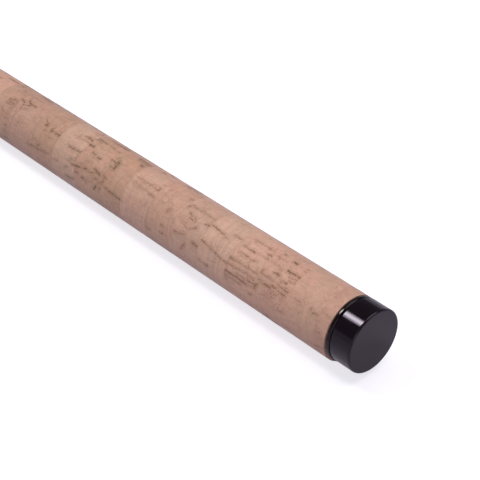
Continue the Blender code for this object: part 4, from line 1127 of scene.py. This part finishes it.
# %% Ribs round the nut
def ribs_tree():
    """Ribs along the rod, spaced evenly round it."""
    tree, given, result = geometry_tree(
        "Ribs", [("Count", INTEGER, 24), ("Radius", FLOAT, 0.01), ("Start x", FLOAT, 0.0),
                 ("Length", FLOAT, 0.01), ("Rib radius", FLOAT, 0.0005), ("Taper", FLOAT, 0.12)])
    line = add(tree, "GeometryNodeCurvePrimitiveLine", {"End": combine(given["Length"])})
    points = add(tree, "GeometryNodeResampleCurve", {"Curve": line, "Count": 15})
    grow = maths("POWER", maths("DIVIDE", from_ends(tree), given["Taper"], clamp=True), 0.6)
    rib = sweep(points, maths("MAXIMUM", grow, 0.02), 12, given["Rib radius"])
    ring = add(tree, "GeometryNodeMeshCircle", {"Vertices": given["Count"], "Radius": given["Radius"]})
    placed = add(tree, "GeometryNodeInstanceOnPoints",
                 {"Points": lay(ring, given["Start x"]), "Instance": rib})
    finish_tree(given, result, placed)
    return tree


RIBS = ribs_tree()
NUT_REAR, NUT_FRONT, NUT_BORE, NUT_RADIUS = 318.75, 329.75, 10.9, 11.65
RIB_COUNT, RIB_LENGTH, RIB_RADIUS = 24, 9.3, 0.5
nut_section = rounded([(NUT_REAR, NUT_BORE, 0.3), (NUT_REAR, NUT_RADIUS, 0.35),
                       (NUT_FRONT, NUT_RADIUS, 0.35), (NUT_FRONT, NUT_BORE, 0.3)])
nut_ring = turned("nut_ring", nut_section, SEAT_PLASTIC, around=144)
nut_ribs = mesh_object("nut_ribs", [])
run_tree(nut_ribs, RIBS, Count=RIB_COUNT, Radius=11.5 * MM, Start_x=(NUT_REAR + 0.85) * MM,
         Length=RIB_LENGTH * MM, Rib_radius=RIB_RADIUS * MM, Taper=0.14, Material=SEAT_PLASTIC)
freeze(nut_ribs)
fit(join("locking_nut_ribbed", [nut_ring, nut_ribs]), "locking_nut", "locking_nut")
print("tree:", RIBS.name, "ribs:", RIB_COUNT)

# %% [markdown]
# ## Trim, blanks and whipping
# A steel ring closes the cork behind the seat, and a dark tapered one ends the foregrip. The
# handle's blank runs on to a whipping and a metal ferrule, which stop the carbon splitting where the
# next section presses on it. These are all turned, and the whipping is wound.

# %% Trim rings and the handle's blank
HANDLE_TURNINGS = (
    ("seat_trim_steel", "hood_steel", "seat_trim_ring", HOOD_STEEL, 144,
     [(229.3, 8.35, 0.1), (229.3, 11.15, 0.3), (232.2, 11.15, 0.3), (232.2, 8.35, 0.1)]),
    ("winding_check_dark", "gunmetal_trim", "front_winding_check", TRIM, 144,
     [(405.97, 8.35, 0.05), (405.97, 9.65, 0.2), (407.0, 9.62, 0.15), (407.25, 9.35, 0.12),
      (408.0, 9.3, 0.12), (408.25, 9.48, 0.15), (411.05, 9.02, 0.3), (411.05, 8.1, 0.1)]),
    ("handle_blank_carbon", "carbon_blank", "handle_blank", CARBON, 128,
     [(8.7, 7.25, 0.1), (8.7, 8.05, 0.15), (411.05, 8.05, 0.0), (490.05, 7.15, 0.12),
      (490.05, 6.37, 0.08), (411.05, 7.25, 0.0)]),
    ("tip_ferrule_dark", "gunmetal_trim", "handle_tip_ferrule", TRIM, 128,
     [(483.0, 7.3, 0.05), (483.0, 8.2, 0.2), (483.9, 8.24, 0.1), (484.1, 8.08, 0.1),
      (484.5, 8.08, 0.1), (484.7, 8.24, 0.1), (490.05, 8.22, 0.35), (490.05, 7.2, 0.1)]))
for name, slot, node, material, around, corners in HANDLE_TURNINGS:
    fit(turned(name, rounded(corners), material, around), "handle", node)
print("turned for the handle:", len(HANDLE_TURNINGS))

# %% The whipping
WHIP_REAR, WHIP_FRONT, WHIP_BORE = 460.75, 482.85, 7.4
WHIP_RADII = (8.12, 7.88)
core_section = rounded([(WHIP_REAR, WHIP_BORE, 0.1), (WHIP_REAR, WHIP_RADII[0], 0.2),
                        (WHIP_FRONT, WHIP_RADII[1], 0.2), (WHIP_FRONT, WHIP_BORE, 0.1)])
whipping_core = turned("whipping_core", core_section, WHIPPING)
whipping_turns = wind("whipping_turns", WHIPPING, WHIP_REAR + 0.2, WHIP_FRONT - 0.2, 54.0, WHIP_RADII,
                      (0.17, 0.205), steps=48, fade=0.002)
fit(join("tip_whipping", [whipping_core, whipping_turns]), "handle",
    "handle_tip_winding")
print("whipping faces:", len(whipping_core.data.polygons))

# %% [markdown]
# ## The telescopic sections
# Each section is a tube with a straight, thick butt that jams in the end of the tube outside it,
# and then a long taper. The last one is solid carbon. With the rod closed they nest, so only their
# tips show, but every one of them shows when the rod is drawn out.

# %% The four sections
BUTT_X, STRAIGHT = 19.6, 40.0
BEND = BUTT_X + STRAIGHT
SECTIONS = (("section_1", 508.35, 6.15, 5.15, 0.65), ("section_2", 523.65, 4.3, 3.45, 0.6),
            ("section_3", 536.45, 2.65, 2.05, 0.5))
for body, end, butt, tip, wall in SECTIONS:
    tube = rounded([(BUTT_X, butt - wall, 0.08), (BUTT_X, butt, 0.15), (BEND, butt, 0.0), (end, tip, 0.1),
                    (end, tip - wall, 0.08), (BEND, butt - wall, 0.0)])
    fit(turned(f"{body}_carbon", tube, CARBON, around=80), body, f"{body}_blank")
tip_section = rounded([(BUTT_X, 0.0, 0.0), (BUTT_X, 1.35, 0.2), (BEND, 1.35, 0.0),
                       (567.25, 0.7, 0.1), (567.25, 0.0, 0.0)], closed=False)
fit(turned("tip_blank_carbon", tip_section, CARBON, around=48), "tip_section", "tip_blank")
print("sections:", len(SECTIONS) + 1)

# %% [markdown]
# ## The line guides
# A guide is a ceramic ring in a metal ring, held off the blank by three legs on a sleeve. The legs
# are wire, welded at both ends, and a weld shows as a small flare. Each leg is one edge of a helper
# mesh, and a tree sweeps a wire along every edge and flares its ends.

# %% The leg tree
def legs_tree():
    """A round wire along each edge, wider at both ends."""
    tree, given, result = geometry_tree(
        "Guide legs", [("Wire radius", FLOAT, 0.0005), ("Flare", FLOAT, 0.7)])
    lines = add(tree, "GeometryNodeMeshToCurve", {"Mesh": given["Geometry"]})
    points = add(tree, "GeometryNodeResampleCurve", {"Curve": lines, "Count": 24})
    near_end = maths("POWER", remap(from_ends(tree), 0.30, 0.0), 1.6)
    wire = sweep(points, 0.94 + near_end * given["Flare"], 20, given["Wire radius"])
    finish_tree(given, result, wire)
    return tree


LEGS = legs_tree()
LEG_SPREAD = math.radians(55.0)
print("tree:", LEGS.name, len(LEGS.nodes), "nodes")

# %% The sizes of the six guides
# Sleeve start, its length, bore, wall; collar radius and width; ring place, centre, radius, width,
# holder wall, ceramic wall; leg radius; wall left in front of a blind sleeve. All in mm.
GUIDES = {
    "guide_1": ("section_1", 490.35, 18.0, 5.45, 0.55, 6.95, 1.5, 12.0, -26.0, 12.0, 2.2, 1.0, 1.7, 0.8, 0.0),
    "guide_2": ("section_2", 508.65, 15.0, 3.75, 0.5, 5.1, 1.3, 10.0, -17.25, 7.5, 1.9, 0.8, 1.3, 0.65, 0.0),
    "guide_3": ("section_3", 523.95, 12.5, 2.35, 0.45, 3.45, 1.1, 8.3, -11.6, 5.2, 1.7, 0.7, 1.1, 0.55, 0.0),
    "floating_guide_a": ("floating_guide_a", 536.75, 9.0, 1.296, 0.45, 1.95, 0.9, 5.8, -7.846, 3.9, 1.5,
                         0.6, 0.9, 0.45, 0.0),
    "floating_guide_b": ("floating_guide_b", 546.05, 9.0, 1.081, 0.45, 1.95, 0.9, 5.8, -7.031, 3.6, 1.5,
                         0.6, 0.9, 0.45, 0.0),
    "tip_top": ("tip_section", 555.35, 13.0, 1.015, 0.45, 1.865, 0.9, 11.2, -6.065, 3.4, 1.5,
                0.6, 0.9, 0.50, 0.8),
}


# %% Sleeve, holder, ceramic ring and legs
def guide_sleeve(x, length, bore, wall, collar, collar_width, blind):
    """The section of the sleeve and its stop collar. A blind sleeve is closed at its front."""
    outer, end, collar_end = bore + wall, x + length, x + collar_width
    rear = [(x, bore, 0.1), (x, collar, 0.25), (collar_end, collar, 0.25)]
    if blind:
        return rounded([(end - blind, 0.0, 0.0), (end - blind, bore, 0.1), *rear, (collar_end, outer, 0.15),
                        (end, outer, 0.5), (end, 0.0, 0.0)], closed=False)
    return rounded([*rear, (collar_end, outer, 0.2), (end, outer, 0.5 * wall), (end, bore, 0.1)])


def ring_section(x, outer, inner, width, fullness):
    """A closed section with a rounded, slightly squared outline."""
    def squared(value):
        return np.sign(value) * abs(value) ** fullness

    angles = [math.tau * step / 28 for step in range(28)]
    points = [(x + 0.5 * width * squared(math.sin(angle)),
               0.5 * (outer + inner) + 0.5 * (outer - inner) * squared(math.cos(angle)), 0.0)
              for angle in angles]
    return [*points, points[0]]


def make_guide(name, body, x, length, bore, wall, collar, collar_width, ring_at, centre, radius, width,
               holder, ceramic, leg, blind):
    """One guide: its metal frame, and the ceramic ring that the line runs through."""
    around = 128 if radius > 6.0 else 96
    sleeve = turned(f"{name}_sleeve", guide_sleeve(x, length, bore, wall, collar, collar_width, blind),
                    GUIDE_STEEL, around=64)
    ring_x = x + ring_at
    band = turned(f"{name}_band", ring_section(ring_x, radius, radius - holder, width, 0.75),
                  GUIDE_STEEL, around, centre)
    depth, middle = bore + 0.8 * wall, radius - 0.5 * holder
    points = [(x + collar_width + leg, -(bore + 0.1 + 1.5 * leg), 0.0), (ring_x, centre + middle, 0.0)]
    for side in (-1.0, 1.0):
        down, across = math.cos(LEG_SPREAD), side * math.sin(LEG_SPREAD)
        points += [(ring_x, -depth * down, depth * across),
                   (ring_x, centre + middle * down, middle * across)]
    legs = mesh_object(f"{name}_legs", [Vector(point) * MM for point in points], [(0, 1), (2, 3), (4, 5)])
    run_tree(legs, LEGS, Wire_radius=leg * MM, Flare=0.55, Material=GUIDE_STEEL)
    freeze(legs)
    fit(join(f"{name}_metal", [sleeve, band, legs]), body, f"{name}_frame")
    rim = ring_section(ring_x, radius - holder + 0.05, radius - holder - 0.1 - ceramic, width + 0.1, 0.9)
    fit(turned(f"{name}_ceramic", rim, CERAMIC, around, centre), body, f"{name}_ring")


for name, sizes in GUIDES.items():
    make_guide(name, *sizes)
print("guides:", len(GUIDES))

# %% [markdown]
# ## Pieces kept from the CAD model
# The bush inside the blank and the pad on the cap's spigot are plain rings that show only when the
# cap is off. Their CAD meshes are right as they are, so they stay, and only their finish changes.

# %% The bush and the pad
for node, slot, material in (("butt_bush", "bush_aluminium", BUSH_ALUMINIUM),
                             ("damper_pad", "black_rubber", RUBBER)):
    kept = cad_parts[node]
    kept.data.materials.clear()
    kept.data.materials.append(material)
    print("kept:", node)

# %% [markdown]
# ## Floor and light
# The photograph has a white ground. The floor is pale and lit only as much as the rod, and it gets
# the rest of its white from Light Path, for the camera and for reflections, so that it adds no light
# of its own to the rod and still keeps the rod's shadow. Reflections get less of it, and less still
# away from the butt, because the cap's side is darker than its end.
#
# A wide soft lamp overhead lights the cork from above. Two narrow lamps, one in front of the other,
# stand where the cap's side mirrors them to the camera: the wide one makes the bright strip, and the
# narrow one its brighter middle. A weak one lights the rod's near side. The world is pale near the
# horizon and darker overhead, because the cap's side is nearly black where it mirrors the space
# above it.

# %% The floor
FLOOR_Z, FLOOR_SIZE = -0.0121, 8.0


def make_floor():
    """A wide pale floor that looks white to the camera and pale to reflections."""
    material = bpy.data.materials.new("studio_floor")
    material.use_nodes = True
    tree = material.node_tree
    tree.nodes.clear()
    path = add_node(tree, "ShaderNodeLightPath").outputs
    camera_ray, glossy_ray, transmission_ray = (
        Value(path[f"Is {kind} Ray"]) for kind in ("Camera", "Glossy", "Transmission"))
    away = vector_maths("LENGTH", {0: add(tree, "ShaderNodeTexCoord", output="Object")})
    mirrored = glossy_ray * remap(away, 0.02, 0.06, 0.47, 0.24)
    seen = maths("MAXIMUM", camera_ray, maths("MAXIMUM", mirrored, transmission_ray))
    tint = mix_colour(glossy_ray, (0.98, 0.97, 1.0), (0.94, 0.85, 1.0))
    glow = add(tree, "ShaderNodeEmission",
               {"Color": tint, "Strength": seen * remap(away, 0.4, 2.0, 0.72, 1.08)})
    matt = add(tree, "ShaderNodeBsdfDiffuse", {"Color": (0.50, 0.48, 0.56)})
    both = add(tree, "ShaderNodeAddShader", {0: matt, 1: glow})
    add_node(tree, "ShaderNodeOutputMaterial", {"Surface": both}).is_active_output = True
    corners = [(x * FLOOR_SIZE, y * FLOOR_SIZE, FLOOR_Z) for x, y in ((-1, -1), (1, -1), (1, 1), (-1, 1))]
    floor = mesh_object("studio_floor", corners, (), [(0, 1, 2, 3)])
    floor.data.materials.append(material)


make_floor()


# %% The world
def make_world():
    """Pale at the horizon, dim overhead, and white to the camera."""
    world = bpy.data.worlds.new("studio")
    world.use_nodes = True
    tree = world.node_tree
    tree.nodes.clear()
    height = split(add(tree, "ShaderNodeTexCoord", output="Generated"))[2]
    camera_ray = add(tree, "ShaderNodeLightPath", output="Is Camera Ray")
    level = maths("MAXIMUM", remap(height, 0.16, 0.30, 0.54, 0.15), camera_ray)
    tint = mix_colour(camera_ray, (0.90, 0.91, 1.0), (1.0, 1.0, 1.0))
    ground = add(tree, "ShaderNodeBackground", {"Color": tint, "Strength": level})
    add_node(tree, "ShaderNodeOutputWorld", {"Surface": ground})
    bpy.context.scene.world = world


make_world()


# %% The lamps
def lamp(name, place, aim, size, strength, colour):
    """A rectangular lamp at place, in metres, turned to shine at aim, as bright at any size."""
    data = bpy.data.lights.new(name, "AREA")
    data.shape = "RECTANGLE"
    data.size, data.size_y = size
    data.energy = strength * math.pi * size[0] * size[1]
    data.color = colour
    obj = bpy.data.objects.new(name, data)
    bpy.context.scene.collection.objects.link(obj)
    obj.location = place
    obj.rotation_euler = (Vector(aim) - Vector(place)).to_track_quat("-Z", "Y").to_euler()


LAMPS = (("overhead", (-0.05, -0.45, 1.2), (0.10, 0.0, 0.0), (1.0, 1.0), 2.78, (1.0, 0.945, 0.95)),
         ("strip", (0.707, 0.318, 1.167), (0.0, 0.0, 0.0), (0.40, 0.42), 8.8, (0.95, 1.0, 0.95)),
         ("strip_core", (0.702, 0.316, 1.159), (0.0, 0.0, 0.0), (0.20, 0.42), 15.5, (0.94, 1.0, 0.93)),
         ("front", (-0.6, 0.9, 0.5), (0.1, 0.0, 0.0), (0.8, 0.8), 1.5, (0.97, 0.97, 1.0)))
for settings in LAMPS:
    lamp(*settings)
print("lamps:", len(LAMPS))

# %% [markdown]
# ## The camera
# The view was found from the photograph: the grip's two edges and the oval of the cap's face fix
# where a camera with this lens must stand. It looks down on the butt from behind and to one side.

# %% The camera
CAMERA_TURN, CAMERA_TILT = math.radians(227.3), math.radians(35.75)
CAMERA_PLACE = (-3.501, 2.715, 33.201)  # right, up and back, in cork radii


def make_camera():
    """The photograph's view, as a position and three axes."""
    right = Vector((math.cos(CAMERA_TURN), math.sin(CAMERA_TURN), 0.0))
    back = Vector((math.sin(CAMERA_TURN) * math.cos(CAMERA_TILT),
                   -math.cos(CAMERA_TURN) * math.cos(CAMERA_TILT), math.sin(CAMERA_TILT)))
    axes = Matrix((right, back.cross(right), back)).transposed()
    data = bpy.data.cameras.new("camera")
    data.lens, data.sensor_width = 94.76, 36.0
    data.clip_start, data.clip_end = 0.01, 100.0
    camera = bpy.data.objects.new("camera", data)
    bpy.context.scene.collection.objects.link(camera)
    place = axes @ Vector(CAMERA_PLACE) * CORK_RADIUS * MM
    camera.matrix_world = Matrix.Translation(place) @ axes.to_4x4()
    bpy.context.scene.camera = camera
    return camera


camera = make_camera()
bpy.context.scene.view_settings.view_transform = "Standard"
print("camera at", [round(value, 3) for value in camera.location])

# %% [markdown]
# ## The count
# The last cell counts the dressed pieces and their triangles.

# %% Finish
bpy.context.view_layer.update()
triangles = sum(len(polygon.vertices) - 2 for piece in pieces for polygon in piece.data.polygons)
print("pieces:", len(pieces), "triangles:", triangles)
